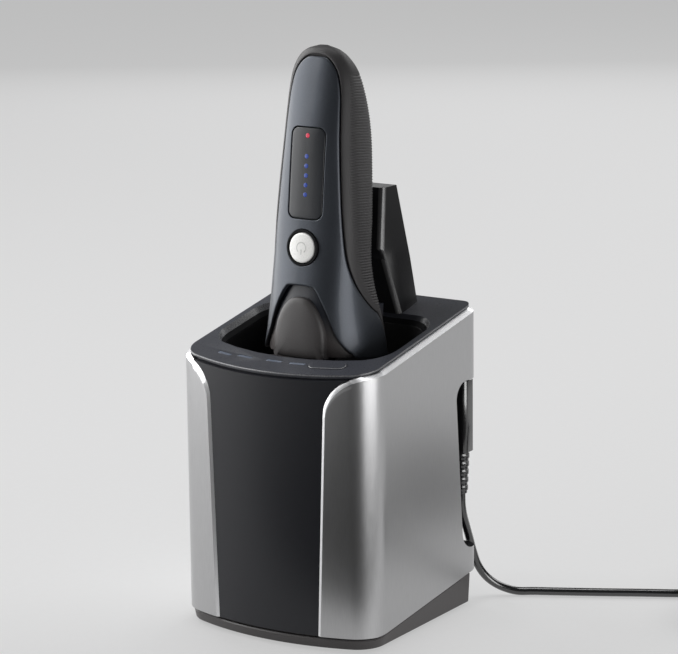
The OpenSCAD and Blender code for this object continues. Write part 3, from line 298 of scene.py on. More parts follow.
def dress(node, width, steps=2, painted_highlight_look=None, pick=None, warp=None, sharp=SHARP_CAD):
    """The CAD shape with its sharp edges rounded, which can have a lighter colour of their own as a painted
    highlight. Its points can be moved a little by a warp."""
    bm = bmesh.new()
    bm.from_mesh(NODES[node].data)
    bmesh.ops.remove_doubles(bm, verts=bm.verts, dist=WELD)
    bmesh.ops.dissolve_limit(bm, angle_limit=math.radians(FLAT_ANGLE), verts=bm.verts, edges=bm.edges)
    edges = [e for e in bm.edges if len(e.link_faces) == 2
             and e.calc_face_angle() > math.radians(EDGE_ANGLE) and (pick is None or pick(e))]
    made = bmesh.ops.bevel(bm, geom=edges, offset=width * MM, segments=steps, profile=0.5, affect="EDGES",
                           clamp_overlap=True)
    rounds = set(made["faces"])
    bm.verts.index_update()
    verts = [v.co / MM for v in bm.verts]
    if warp is not None:
        verts = [warp(v) for v in verts]
    faces = [[v.index for v in f.verts] for f in bm.faces]
    indices = [1 if painted_highlight_look and f in rounds else 0 for f in bm.faces]
    bm.free()
    main = LOOK[SLOT_OF[node]]
    obj = finished("look_" + node, verts, faces, [main, painted_highlight_look] if painted_highlight_look else [main], indices,
                   sharp)
    return stands_for(obj, node)


def paint_shade_below(obj, point, normal, mat):
    """Painted shade: another finish, a dark one, on the part of obj that lies below a plane."""
    place, up = Vector(point) * MM, Vector(normal)
    obj.data.materials.append(mat)
    bm = bmesh.new()
    bm.from_mesh(obj.data)
    bmesh.ops.bisect_plane(bm, geom=bm.verts[:] + bm.edges[:] + bm.faces[:], dist=ON_PLANE, plane_co=place,
                           plane_no=up)
    for face in bm.faces:
        if (face.calc_center_median() - place).dot(up) < 0:
            face.material_index = len(obj.data.materials) - 1
    bm.to_mesh(obj.data)
    bm.free()


def tube_faces(rings, n):
    """Faces between rings of n points each, which close on themselves."""
    return [(i * n + j, i * n + (j + 1) % n, (i + 1) * n + (j + 1) % n, (i + 1) * n + j)
            for i in range(rings - 1) for j in range(n)]


def closed_tube(count, n):
    """Faces of a tube of so many points, in rings of n, with both ends closed."""
    return tube_faces(count // n, n) + [tuple(range(n)), tuple(range(count - 1, count - n - 1, -1))]


def curve_point(a, b, c, d, t):
    """A point at a share of the way from b to c, on a smooth curve through four points."""
    return 0.5 * (2 * b + (c - a) * t + (2 * a - 5 * b + 4 * c - d) * t**2
                  + (3 * b - a - 3 * c + d) * t**3)


def smooth_closed(points, per_span):
    """A closed smooth curve through points."""
    p = np.array(points, float)
    out = []
    for i in range(len(p)):
        corners = [p[(i + k) % len(p)] for k in (-1, 0, 1, 2)]
        out.extend(curve_point(*corners, t) for t in np.linspace(0, 1, per_span, endpoint=False))
    return np.array(out)


def smooth_open(points, per_span):
    """A smooth curve from the first point to the last."""
    p = [np.array(q, float) for q in points]
    p = [2 * p[0] - p[1]] + p + [2 * p[-1] - p[-2]]
    out = []
    for corners in zip(p, p[1:], p[2:], p[3:]):
        out.extend(curve_point(*corners, t) for t in np.linspace(0, 1, per_span, endpoint=False))
    return out + [p[-2]]


# Shaver: the same skin as the CAD loft

NECK_HALF, MID_HALF, TAIL_HALF = 25.5, 19.1, 16.2
HANDLE_LEN = 123.0
SKIN_POWER = 2.6
LEAN = 6.0
DOCK_Y, DOCK_Z = -3.5, 110.4
COVER_T = 1.8
SEAM = 0.15
TAIL_DROP, TAIL_POWER = 1.2, 6


def mixed(t):
    """Half width at a share of the way from the neck to the middle."""
    return NECK_HALF + (MID_HALF - NECK_HALF) * t


# Height above the neck, half width, front, widest line, back and seam angle of each section
SECTIONS = np.array([
    [0, NECK_HALF, -15.5, 11, 17.8, -30],
    [10, mixed(0.3), -16.2, 10, 17.6, -15],
    [20, mixed(0.58), -16.4, 7, 17.2, 4],
    [30, mixed(0.82), -15.8, 2.5, 16, 19],
    [40, mixed(0.95), -15.2, 0.3, 15, 31],
    [55, MID_HALF, -15, 0, 15, 40],
    [70, MID_HALF - 0.9, -15, 0, 15.2, 43],
    [85, TAIL_HALF + 0.7, -15, 0, 15.3, 43.5],
    [95, TAIL_HALF, -14.4, -0.6, 13.2, 43.5],
    [105, TAIL_HALF - 0.9, -13.2, -2, 9, 44],
    [113, TAIL_HALF - 2.6, -12.2, -3.6, 4.8, 48],
    [118.4, TAIL_HALF - 5.6, -11, -5, 0.6, 57],
    [121.5, TAIL_HALF - 9.6, -9.6, -5.6, -2.6, 72],
    [123, 1.6, -7.4, -6, -5, 84],
])


def section_at(s):
    """A section at any height, on a smooth curve through the driving ones."""
    s = max(s, 0.0)
    i = int(np.clip(np.searchsorted(SECTIONS[:, 0], s, side="right") - 1, 0, len(SECTIONS) - 2))
    a, b = SECTIONS[i], SECTIONS[i + 1]
    before, after = SECTIONS[max(i - 1, 0)], SECTIONS[min(i + 2, len(SECTIONS) - 1)]
    h = b[0] - a[0]
    t = (s - a[0]) / h
    slope_a = (b - before) / (b[0] - before[0])
    slope_b = (after - a) / (after[0] - a[0])
    return (a * (2 * t**3 - 3 * t**2 + 1) + b * (3 * t**2 - 2 * t**3)
            + slope_a * h * (t**3 - 2 * t**2 + t) + slope_b * h * (t**3 - t**2))


def in_shaver(x, v, s):
    """A point of the docked shaver: to the right, backwards and up from its neck."""
    sin_l, cos_l = turned(LEAN)
    return x, DOCK_Y + v * cos_l + s * sin_l, DOCK_Z - v * sin_l + s * cos_l


def rounded(c):
    """A sine or cosine, bent so that the sections are squarer than ellipses."""
    return np.sign(c) * np.abs(c) ** (2 / SKIN_POWER)


def ring_points(s, angles, inset):
    """x, v and height of points round the skin at some depths below it."""
    level = s - TAIL_DROP * np.mean(inset) * (s / HANDLE_LEN) ** TAIL_POWER
    _, half, front, wide, back, _ = section_at(level)
    depth = np.where(np.sin(angles) < 0, wide - front, back - wide) - inset
    return (half - inset) * rounded(np.cos(angles)), wide + depth * rounded(np.sin(angles)), level


def front_skin(x, s, inset):
    """A point on the front of the handle, or below it."""
    _, half, front, wide, _, _ = section_at(s)
    share = min(1.0, abs(x) / (half - inset))
    v = wide - (wide - front - inset) * (1 - share**SKIN_POWER) ** (1 / SKIN_POWER)
    return in_shaver(x, v, s)


def edge_drop(distance, radius):
    """How far a rounded edge has fallen away at a distance from it."""
    d = np.clip(distance, 0, radius)
    return radius - np.sqrt(radius**2 - (radius - d) ** 2)


EDGE_STEPS = np.array([0, 0.04, 0.14, 0.3, 0.55, 1.0])
COVER_EDGE_R, GRIP_EDGE_R, LOW_R = 1.1, 0.6, 0.5
EDGE_SHARE = 0.3
RING_SAMPLES = 500
LEAST = 1e-9

# The front cover ends in a round arch below the tail, and the grip runs on round it
END_FROM, END_HALF, END_POWER = 106.0, math.radians(45.0), 2.4
COVER_END, GRIP_END = 13.2, 13.5


def cover_half(s, reach):
    """Half angle of the front cover at a height."""
    half = max(math.pi / 2 - math.radians(section_at(s)[5]), END_HALF)
    share = min(max((s - END_FROM) / reach, 0.0), 1.0)
    return half * (1 - share**END_POWER) ** (1 / END_POWER)


def end_height(half, reach):
    """Height of the cover's end at angles from its middle."""
    share = np.clip(half / END_HALF, 0, 1)
    return END_FROM + reach * (1 - share**END_POWER) ** (1 / END_POWER)


def shell_row(s, front, columns, edge_r, relief):
    """Angles round the cover or the grip at a height, and how far its rounded edges and its relief lie
    below the skin there."""
    reach = COVER_END if front else GRIP_END
    middle = -math.pi / 2 if front else math.pi / 2
    half = cover_half(s, reach)
    gap = SEAM / section_at(s)[1] if half > 0 else 0.0
    reach_angle = max(half - gap, 0.0) if front else math.pi - half - gap
    fine = np.linspace(middle - reach_angle, middle + reach_angle, RING_SAMPLES)
    x, v, _ = ring_points(s, fine, np.zeros_like(fine))
    arc = np.concatenate([[0], np.cumsum(np.hypot(np.diff(x), np.diff(v)))])
    r = min(edge_r, EDGE_SHARE * arc[-1])
    places = np.concatenate([EDGE_STEPS * r, np.linspace(r, arc[-1] - r, columns)[1:-1],
                             arc[-1] - EDGE_STEPS[::-1] * r])
    angles = np.interp(places, arc, fine)
    across = np.minimum(places, arc[-1] - places)
    from_front = np.abs(angles - middle) if front else math.pi - np.abs(angles - middle)
    along = np.abs(end_height(from_front, reach) - s)
    under_end = from_front < END_HALF
    if half == 0:
        distance = np.where(under_end, along, edge_r)
    else:
        both = across * along / np.maximum(np.hypot(across, along), LEAST)
        distance = np.where(under_end, both, across) if s > END_FROM else across
    inset = edge_drop(distance, edge_r) + edge_drop(s, LOW_R)
    if relief is not None:
        inset = inset + relief(s, places, arc[-1])
    return angles, inset


def handle_shell(name, mat, levels, front, columns, edge_r, relief=None):
    """The front cover or the grip: an outer and an inner skin joined along rounded edges."""
    reach = COVER_END if front else GRIP_END
    outer, inner = [], []
    for s in levels:
        angles, inset = shell_row(s, front, columns, edge_r, relief)
        for rows, depth in ((outer, inset), (inner, np.full_like(inset, COVER_T))):
            x, v, level = ring_points(s, angles, depth)
            rows.append([in_shaver(px, pv, level) for px, pv in zip(x, v)])
    width = len(outer[0])
    verts = [p for row in outer + inner for p in row]
    count = len(levels) * width
    faces = []
    for i in range(len(levels) - 1):
        for j in range(width - 1):
            a, b = i * width + j, (i + 1) * width + j
            faces.append((a, a + 1, b + 1, b))
            faces.append((count + a, count + b, count + b + 1, count + a + 1))
        closed = cover_half(levels[i], reach) == 0
        for j in () if closed else (0, width - 1):
            a, b = i * width + j, (i + 1) * width + j
            faces.append((a, b, count + b, count + a))
    top = (len(levels) - 1) * width
    for start in (0, top) if front else (0,):
        for j in range(start, start + width - 1):
            faces.append((j, j + 1, count + j + 1, count + j))
    if not front:
        faces.append(tuple(range(top, top + width)))
        faces.append(tuple(range(count + top, count + top + width)))
    return finished(name, verts, faces, [mat])


def disc(x, s, r, count):
    """A round outline."""
    turn = np.linspace(0, 2 * math.pi, count, endpoint=False)
    return np.stack([x + r * np.cos(turn), s + r * np.sin(turn)], axis=1)


def rounded_box(x, s, w, h, r, arc_steps=8, side_steps=14):
    """A rectangle with round corners, its sides divided so that it can follow a curved skin."""
    out = []
    far_x, far_s = w / 2 - r, h / 2 - r
    corners = [(far_x, far_s), (-far_x, far_s), (-far_x, -far_s), (far_x, -far_s)]
    for i, (cx, cs) in enumerate(corners):
        for a in np.linspace(90 * i, 90 * i + 90, arc_steps):
            sin_a, cos_a = turned(a)
            out.append((x + cx + r * cos_a, s + cs + r * sin_a))
        nx, ns = corners[(i + 1) % 4]
        sin_a, cos_a = turned(90 * i + 90)
        start, end = np.array(out[-1]), np.array([x + nx + r * cos_a, s + ns + r * sin_a])
        out.extend(tuple(start + (end - start) * t) for t in np.linspace(0, 1, side_steps)[1:-1])
    return np.array(out)


def grown(outline, by):
    """An outline moved outwards, which runs anticlockwise."""
    side = np.roll(outline, -1, axis=0) - np.roll(outline, 1, axis=0)
    normal = np.stack([side[:, 1], -side[:, 0]], axis=1)
    normal /= np.linalg.norm(normal, axis=1)[:, None]
    return outline + by * normal


def pad_mesh(outline, profile, rings=8, crown=0.0, hollow=None):
    """A piece on the front of the handle: its outline at each (growth, depth) of a profile from its foot
    to its top, closed below and filled above, higher in the middle by the crown."""
    rows = [[(p, depth) for p in grown(outline, by)] for by, depth in profile]
    middle = outline.mean(axis=0)
    rim, depth = grown(outline, profile[-1][0]), profile[-1][1]
    for i in range(1, rings):
        share = 1 - i / rings
        rows.append([(middle + (p - middle) * share, depth - crown * (1 - share**2)) for p in rim])
    extra = hollow if hollow is not None else (lambda x, s: 0.0)
    verts = [front_skin(*p, d + extra(*p)) for row in rows for p, d in row]
    n = len(outline)
    faces = tube_faces(len(rows), n)
    verts += [front_skin(*middle, d + extra(*middle)) for d in (depth - crown, profile[0][1])]
    top = (len(rows) - 1) * n
    faces += [(top + j, top + (j + 1) % n, len(verts) - 2) for j in range(n)]
    faces += [((j + 1) % n, j, len(verts) - 1) for j in range(n)]
    return verts, faces


def pad(name, mat, outline, profile, **options):
    """A piece on the front of the handle, as an object."""
    verts, faces = pad_mesh(outline, profile, **options)
    return finished(name, verts, faces, [mat])


def cut(obj, cutters):
    """Takes the cutters out of obj and removes them."""
    for cutter in cutters:
        change = obj.modifiers.new("cut", "BOOLEAN")
        change.operation = "DIFFERENCE"
        change.solver = "EXACT"
        change.material_mode = "TRANSFER"
        change.object = cutter
    bpy.context.view_layer.update()
    mesh = bpy.data.meshes.new_from_object(obj.evaluated_get(bpy.context.evaluated_depsgraph_get()))
    obj.modifiers.clear()
    obj.data = mesh
    for cutter in cutters:
        bpy.data.objects.remove(cutter)
    mesh.shade_smooth()
    mesh.set_sharp_from_angle(angle=math.radians(SHARP))


# The arch at the neck, the finger rest in it, the button and the display, in (x, height)
ARCH_HALF = [(21.2, -3), (21.2, 0.8), (18.6, 3.9), (15.7, 8.2), (13.6, 13.4), (11.4, 18.6), (8.8, 23.6),
             (6.9, 26.4), (4.6, 27.7)]
REST_HALF = [(10.6, -0.9), (11.6, 1.6), (11.6, 8.4), (10.4, 13.6), (8.2, 18.0), (5.6, 21.2), (2.4, 23.1)]
BUTTON_S, BUTTON_D, RING_D = 43.0, 12.0, 14.4
DISPLAY_S, DISPLAY_W, DISPLAY_H, DISPLAY_R = 72.5, 15.5, 36.0, 3.0
LAMP_S = [87.4, 79.2, 75.4, 71.6, 67.8, 64]
LAMP_R = 0.95
OUTLINE_SPAN, NECK_SPAN = 8, 6
BUTTON_POINTS, LAMP_POINTS = 64, 24
NECK_RINGS, LAMP_RINGS, CUT_RINGS = 10, 2, 6

# How far each outline grows and how deep it lies below the skin, from its foot to its top
NECK_PROFILE = [(0.3, 2.8), (0.3, 1.7), (0.2, 1.6)]
REST_PROFILE = [(0.0, 2.4), (0.0, 0.9), (-0.12, 0.35), (-0.4, -0.1), (-0.9, -0.42), (-1.7, -0.62),
                (-2.6, -0.7)]
GLASS_PROFILE = [(0.0, 1.4), (0.0, 0.5), (-0.1, 0.25), (-0.3, 0.14), (-0.6, 0.1)]
LAMP_PROFILE = [(0.0, 0.7), (0.0, 0.12), (-0.15, 0.06)]
BUTTON_PROFILE = [(0.0, 2.4), (0.0, -0.25), (-0.1, -0.5), (-0.3, -0.66), (-0.7, -0.75)]
REST_CROWN, BUTTON_CROWN = 0.15, 0.12
NECK_LOW, NECK_HOLLOW, HOLLOW_FROM, HOLLOW_TO = 0.3, 0.9, 14, 27

# Openings in the front cover: their gaps, the radii of their rims and the reach of what cuts them
DISPLAY_GAP, RING_GAP = 0.3, 0.1
ARCH_RIM, SMALL_RIM = 0.8, 0.35
RIM_STEPS = (1.0, 0.6, 0.3, 0.1, 0.0)
CUT_UNDER, CUT_SPREAD, CUT_OVER = 1.4, 0.9, 2.6


def mirrored(half):
    """The whole outline from its right half, anticlockwise."""
    return half + [(-x, s) for x, s in reversed(half)]


def rim_profile(radius):
    """A cutter's growth and depth, so that it leaves a rounded rim."""
    depths = [COVER_T + CUT_UNDER] + [share * radius for share in RIM_STEPS]
    steps = [(float(edge_drop(d, radius)), d) for d in depths]
    return steps + [(radius + CUT_SPREAD, -CUT_OVER)]


COVER_ROWS_FROM, COVER_PITCH, COVER_ROWS_GAP = 1.2, 0.9, 0.3
COVER_CLOSING = np.linspace(0, 88.6, 40)
COVER_COLUMNS, GRIP_COLUMNS = 56, 58


def build_front_cover():
    """The front cover with its openings for the finger rest, the display and the button."""
    lacquer = LOOK["gunmetal_lacquer"]
    rows = np.arange(COVER_ROWS_FROM, END_FROM - COVER_ROWS_GAP, COVER_PITCH)
    closing = END_FROM + COVER_END * np.sin(np.radians(COVER_CLOSING))
    levels = np.concatenate([EDGE_STEPS * LOW_R, rows, closing])
    cover = handle_shell("front_cover_skin", lacquer, levels, True, COVER_COLUMNS, COVER_EDGE_R)
    arch = smooth_closed(mirrored(ARCH_HALF), OUTLINE_SPAN)
    display = rounded_box(0, DISPLAY_S, DISPLAY_W + 2 * DISPLAY_GAP, DISPLAY_H + 2 * DISPLAY_GAP,
                          DISPLAY_R + DISPLAY_GAP)
    ring = disc(0, BUTTON_S, RING_D / 2 + RING_GAP, BUTTON_POINTS)
    openings = (("arch", arch, ARCH_RIM), ("display", display, SMALL_RIM), ("ring", ring, SMALL_RIM))
    cut(cover, [pad("cut_" + name, lacquer, outline, rim_profile(r), rings=CUT_RINGS)
                for name, outline, r in openings])
    stands_for(cover, "front_cover")


RIB_PITCH, RIB_DEPTH, RIB_BORDER = 1.1, 0.3, 4.4
RIB_STEPS = 5
RIB_LOW, RIB_HIGH = 7.0, 113.0
RIB_FADE, RIB_END_FADE = 0.9, 1.5
CONTACT_S, CONTACT_HALF_H, CONTACT_HALF_W, CONTACT_FADE = 58.0, 7, 10, 1
GRIP_LOW_ROWS = np.arange(1.0, 6.6, 0.8)
GRIP_CLOSING = np.linspace(66, 90, 34)
GRIP_ROWS_GAP, TAIL_ROWS = 0.1, 18


def eased(value, start, end):
    """0 before the start, 1 after the end and a smooth rise between them."""
    t = np.clip((value - start) / (end - start), 0, 1)
    return t * t * (3 - 2 * t)


def ribs(s, places, total):
    """Depth of the grip's fine horizontal ribs, which leave a smooth border and the contacts bare."""
    wave = 0.5 - 0.5 * math.cos(2 * math.pi * s / RIB_PITCH)
    side = eased(np.minimum(places, total - places), RIB_BORDER, RIB_BORDER + RIB_FADE)
    ends = eased(s, RIB_LOW, RIB_LOW + RIB_END_FADE) * (1 - eased(s, RIB_HIGH - RIB_END_FADE, RIB_HIGH))
    around = 1.0
    if abs(s - CONTACT_S) < CONTACT_HALF_H:
        around = eased(np.abs(places - total / 2), CONTACT_HALF_W, CONTACT_HALF_W + CONTACT_FADE)
    return RIB_DEPTH * wave * side * ends * around


def build_grip():
    """The ribbed rear grip, which runs on round the tail."""
    closing = END_FROM + GRIP_END * np.sin(np.radians(GRIP_CLOSING))
    ribbed = np.arange(RIB_LOW, closing[0] - GRIP_ROWS_GAP, RIB_PITCH / RIB_STEPS)
    tail = np.linspace(GRIP_END + END_FROM + GRIP_ROWS_GAP, HANDLE_LEN, TAIL_ROWS)
    levels = np.concatenate([EDGE_STEPS * LOW_R, GRIP_LOW_ROWS, ribbed, closing, tail])
    grip = handle_shell("rear_grip_skin", LOOK["grip_rubber"], levels, False, GRIP_COLUMNS, GRIP_EDGE_R, ribs)
    stands_for(grip, "rear_grip")


SYMBOL_INNER, SYMBOL_OUTER, SYMBOL_GAP = 1.9, 2.35, 38
BAR_HALF, BAR_FROM, BAR_TO = 0.24, -2.7, -0.6
SYMBOL_TOP, SYMBOL_FOOT = 0.03, -0.05
SYMBOL_POINTS, BAR_POINTS = 40, 8


def build_symbol():
    """A ring with a gap and a bar, which lie on the crowned button and read from the head's side."""
    verts, faces = [], []
    growth, depth = BUTTON_PROFILE[-1]
    radius = BUTTON_D / 2 + growth

    def strip(left, right):
        start = len(verts)
        for a, b in zip(left, right):
            for x, s in (a, b):
                base = depth - BUTTON_CROWN * (1 - (math.hypot(x, s) / radius) ** 2)
                verts.extend(front_skin(x, BUTTON_S + s, base - lift) for lift in (SYMBOL_TOP, SYMBOL_FOOT))
        for i in range(len(left) - 1):
            a, b = start + 4 * i, start + 4 * i + 4
            faces.extend([(a, a + 2, b + 2, b), (a + 1, b + 1, b + 3, a + 3), (a, b, b + 1, a + 1),
                          (a + 2, a + 3, b + 3, b + 2)])
        last = len(verts) - 4
        faces.append((start, start + 1, start + 3, start + 2))
        faces.append((last, last + 2, last + 3, last + 1))

    turn = np.radians(np.linspace(-90 + SYMBOL_GAP, 270 - SYMBOL_GAP, SYMBOL_POINTS))
    bar = np.linspace(BAR_FROM, BAR_TO, BAR_POINTS)
    strip(*[[(r * math.cos(a), r * math.sin(a)) for a in turn] for r in (SYMBOL_OUTER, SYMBOL_INNER)])
    strip(*[[(x, s) for s in bar] for x in (-BAR_HALF, BAR_HALF)])
    goes_with(finished("power_symbol", verts, faces, [SYMBOL]), "power_button")


def neck_hollow(_, s):
    """How much deeper the neck panel lies towards the top of its arch."""
    return NECK_HOLLOW * float(eased(s, HOLLOW_FROM, HOLLOW_TO))


def build_indicators():
    """The round lamps on the display: a red one and a row of blue ones."""
    verts, faces, indices = [], [], []
    for i, s in enumerate(LAMP_S):
        v, f = pad_mesh(disc(0, s, LAMP_R, LAMP_POINTS), LAMP_PROFILE, rings=LAMP_RINGS)
        faces += [tuple(k + len(verts) for k in face) for face in f]
        indices += [0 if i == 0 else 1] * len(f)
        verts += v
    dots = finished("indicator_dots", verts, faces, [RED_LIGHT, BLUE_LIGHT], indices)
    stands_for(dots, "indicator_lamps")


def build_front_pieces():
    """What lies on or in the front cover."""
    arch = smooth_closed(mirrored([(x, max(s, NECK_LOW)) for x, s in ARCH_HALF[1:]]), NECK_SPAN)
    panel = pad("neck_panel_skin", LOOK["navy_recess"], arch, NECK_PROFILE, rings=NECK_RINGS,
                hollow=neck_hollow)
    stands_for(panel, "neck_panel")
    outline = smooth_closed(mirrored(REST_HALF), OUTLINE_SPAN)
    rest = pad("finger_rest_skin", LOOK["rest_rubber"], outline, REST_PROFILE, crown=REST_CROWN)
    stands_for(rest, "finger_rest")
    outline = rounded_box(0, DISPLAY_S, DISPLAY_W, DISPLAY_H, DISPLAY_R)
    glass = pad("display_glass", LOOK["display_smoke"], outline, GLASS_PROFILE)
    stands_for(glass, "display_window")
    build_indicators()
    outline = disc(0, BUTTON_S, BUTTON_D / 2, BUTTON_POINTS)
    cap = pad("power_button_cap", LOOK["white_button"], outline, BUTTON_PROFILE, crown=BUTTON_CROWN)
    stands_for(cap, "power_button")
    build_symbol()


build_front_cover()
build_grip()
build_front_pieces()


# Cord

CORD_D, CORD_LIFT, CORD_ROUND = 3.4, 0.1, 4
CORD_Z = CORD_D / 2 + CORD_LIFT
CORD_EXIT = (40.0, 41.2, 46.8)
LEAD = [CORD_EXIT, (40, 41.4, 42), (40, 42.6, 37), (40, 45, 31.5), (40.2, 47.2, 26), (40.8, 49, 20),
        (42, 51, 13.6), (44.6, 53.8, 8), (49, 57, 4), (55, 60.4, CORD_Z), (62, 64, CORD_Z),
        (73, 69.6, CORD_Z), (86, 76.4, CORD_Z), (100, 84, CORD_Z), (114, 91.4, CORD_Z),
        (119.2, 95.2, CORD_Z), (124.8, 100.4, 2.1)]
COIL = (149.0, 89.5)
COIL_R = 20.0
COIL_PITCH, COIL_STEP = 3.55, 3.45
COIL_COLUMNS = [COIL_R + COIL_PITCH * k for k in (1.5, 0.5, -0.5, -1.5)]
COIL_LOW = 2.4
COIL_FROM = 135.0
COIL_LAYERS, COIL_TURNS = 3, 13
SHIFT = 0.2
PER_TURN = 40
TAIL = [(133.6, 110.2, 12.9), (135.6, 113.3, 13.3), (136.6, 116.1, 13.8), (136.8, 118.5, 14),
        (136.8, 124.5, 14), (136.8, 130.5, 14)]
PER_SPAN = 6


def coil_points():
    """Three layers of four turns, wound in, out and in, and a loose spiral of two turns on top.
    Each change of column or layer comes before the turn reaches the last such change."""
    last = len(COIL_COLUMNS) - 1
    moves = []
    for layer in range(COIL_LAYERS):
        start = 1 - SHIFT + len(COIL_COLUMNS) * layer - 2 * SHIFT * layer
        inwards = layer % 2 == 0
        for k in range(last):
            a, b = (k, k + 1) if inwards else (last - k, last - k - 1)
            moves.append((start + k, "radius", COIL_COLUMNS[a], COIL_COLUMNS[b]))
        moves.append((start + last - SHIFT, "height", layer, layer + 1))
    top_from = moves[-1][0] + SHIFT
    out = []
    for i in range(COIL_TURNS * PER_TURN + 1):
        t = i / PER_TURN
        r, z = COIL_COLUMNS[0], 0.0
        for start, kind, a, b in moves:
            if t >= start:
                value = a + (b - a) * float(eased(t, start, start + SHIFT))
                if kind == "radius":
                    r = value
                else:
                    z = value
        if t > top_from:
            share = (t - top_from) / (COIL_TURNS - top_from)
            r = COIL_COLUMNS[last] + (COIL_COLUMNS[0] - COIL_COLUMNS[last]) * share
        sin_a, cos_a = turned(COIL_FROM - 360 * t)
        out.append((COIL[0] + r * cos_a, COIL[1] + r * sin_a, COIL_LOW + COIL_STEP * z))
    return out


STRAP_AT, STRAP_W, STRAP_T, STRAP_R = 320.0, 7.0, 0.5, 1.6
STRAP_GAP, STRAP_LOW, STRAP_STEPS = 0.15, 0.1, (6, 6)
PLUG_ROUND, ADAPTOR_ROUND = 0.4, 1.2


def build_strap():
    """A flat tie round the coil."""
    low = CORD_Z - CORD_D / 2 + STRAP_GAP
    high = COIL_LOW + COIL_LAYERS * COIL_STEP + CORD_D / 2 + STRAP_GAP
    near = COIL_COLUMNS[-1] - CORD_D / 2 - STRAP_GAP
    far = COIL_COLUMNS[0] + CORD_D / 2 + STRAP_GAP
    loop = rounded_box((near + far) / 2, (low + high) / 2, far - near, high - low, STRAP_R, *STRAP_STEPS)
    sin_a, cos_a = turned(STRAP_AT)
    verts = []
    for outline in (loop, grown(loop, STRAP_T)):
        for side in (-STRAP_W / 2, STRAP_W / 2):
            verts += [(COIL[0] + r * cos_a - side * sin_a, COIL[1] + r * sin_a + side * cos_a,
                       max(z, STRAP_LOW)) for r, z in outline]
    n = len(loop)
    faces = []
    for a, b in ((0, 1), (1, 3), (3, 2), (2, 0)):
        faces += [(a * n + j, a * n + (j + 1) % n, b * n + (j + 1) % n, b * n + j) for j in range(n)]
    strap = finished("tie_strap", verts, faces, [STRAP])
    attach(strap, "station")
    return strap


def build_cord():
    """The cord from the plug to the adaptor, with its coil, its tie and the pieces at its ends."""
    coil = coil_points()
    lead = smooth_open(LEAD + coil[:2], PER_SPAN)[:-PER_SPAN]
    tail = smooth_open(coil[-2:] + TAIL, PER_SPAN)[PER_SPAN:]
    route = [np.array(p) for p in lead[:-1] + coil + tail[1:]]
    curve = bpy.data.curves.new("cord", "CURVE")
    curve.dimensions = "3D"
    curve.bevel_depth = CORD_D / 2 * MM
    curve.bevel_resolution = CORD_ROUND
    curve.use_fill_caps = True
    spline = curve.splines.new("POLY")
    spline.points.add(len(route) - 1)
    for point, p in zip(spline.points, route):
        point.co = (*(p * MM), 1.0)
    curve.materials.append(LOOK["cord_black"])
    cord = placed("cord", curve)
    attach(cord, "station")
    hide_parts("cord_lead", "cord_coil")
    strap = build_strap()
    plug = dress("dc_plug", PLUG_ROUND, sharp=SHARP)
    adaptor = dress("ac_adaptor", ADAPTOR_ROUND, steps=3, sharp=SHARP_FLAT)


build_cord()


# The station

HALF_W, FRONT_Y, REAR_Y = 46.0, -45.5, 45.5
BOW_R, CORNER_R, BACK_R = 110.0, 14.0, 6.0
TOP_Z, TOP_RISE = 109.4, math.tan(math.radians(10.4))
SHELL_T = 3.0
RIM_DROP = 1.8
BACK_END = 38.0
SHELL_FOOT, RAMP_FROM, RAMP_RISE = 5.9, -31.5, math.tan(math.radians(7))
BOW_Y = FRONT_Y + BOW_R
CORNER_X = HALF_W - CORNER_R
CORNER_Y = BOW_Y - math.sqrt((BOW_R - CORNER_R) ** 2 - CORNER_X**2)
CORNER_FROM = math.asin(CORNER_X / (BOW_R - CORNER_R))
PLAN_ENDS = np.cumsum([BOW_R * CORNER_FROM, CORNER_R * (math.pi / 2 - CORNER_FROM),
                       REAR_Y - BACK_R - CORNER_Y, BACK_R * math.pi / 2, HALF_W - BACK_R - BACK_END])


def plan_point(t, inset=0.0):
    """A point of the station's right half, at a length along its outline from the front's middle."""
    bow, corner, side, back, _ = PLAN_ENDS
    if t <= bow:
        center, r, a = (0.0, BOW_Y), BOW_R, t / BOW_R
    elif t <= corner:
        center, r, a = (CORNER_X, CORNER_Y), CORNER_R, CORNER_FROM + (t - bow) / CORNER_R
    elif t <= side:
        return HALF_W - inset, CORNER_Y + t - corner
    elif t <= back:
        center, r, a = (HALF_W - BACK_R, REAR_Y - BACK_R), BACK_R, math.pi / 2 + (t - side) / BACK_R
    else:
        return HALF_W - BACK_R - (t - back), REAR_Y - inset
    return center[0] + (r - inset) * math.sin(a), center[1] - (r - inset) * math.cos(a)


def rim_z(t, inset=0.0):
    """Height of the sloping top at a place along the outline."""
    return TOP_Z + (plan_point(t, inset)[1] - FRONT_Y) * TOP_RISE


def shell_low(t):
    """Height of the shell's foot, which rises towards the back."""
    return SHELL_FOOT + max(0.0, plan_point(t)[1] - RAMP_FROM) * RAMP_RISE


def round_front(counts):
    """Places along the outline from the left side's end, round the front, to the right side's end, with a
    number of places on half the bow, on a corner and on a side."""
    stops = [0.0, *PLAN_ENDS[:3]]
    spans = [np.linspace(a, b, count)[1:] for a, b, count in zip(stops, stops[1:], counts)]
    right = list(np.concatenate(spans))
    return [-t for t in reversed(right)] + [0.0] + right


PANEL_FOOT, STRAIGHT_TOP = -1.0, 95.2
PANEL_HIGH, PANEL_LOW, PANEL_CAD_LOW = 26.8, 23.7, 25.6


def panel_height(z):
    """A height as a share of the panel's straight edge."""
    return (z - PANEL_FOOT) / (STRAIGHT_TOP - PANEL_FOOT)


def panel_edge(z):
    """Where the dark panel's straight edge is along the outline."""
    x = PANEL_LOW + (PANEL_HIGH - PANEL_LOW) * panel_height(z)
    return BOW_R * math.asin(x / BOW_R)


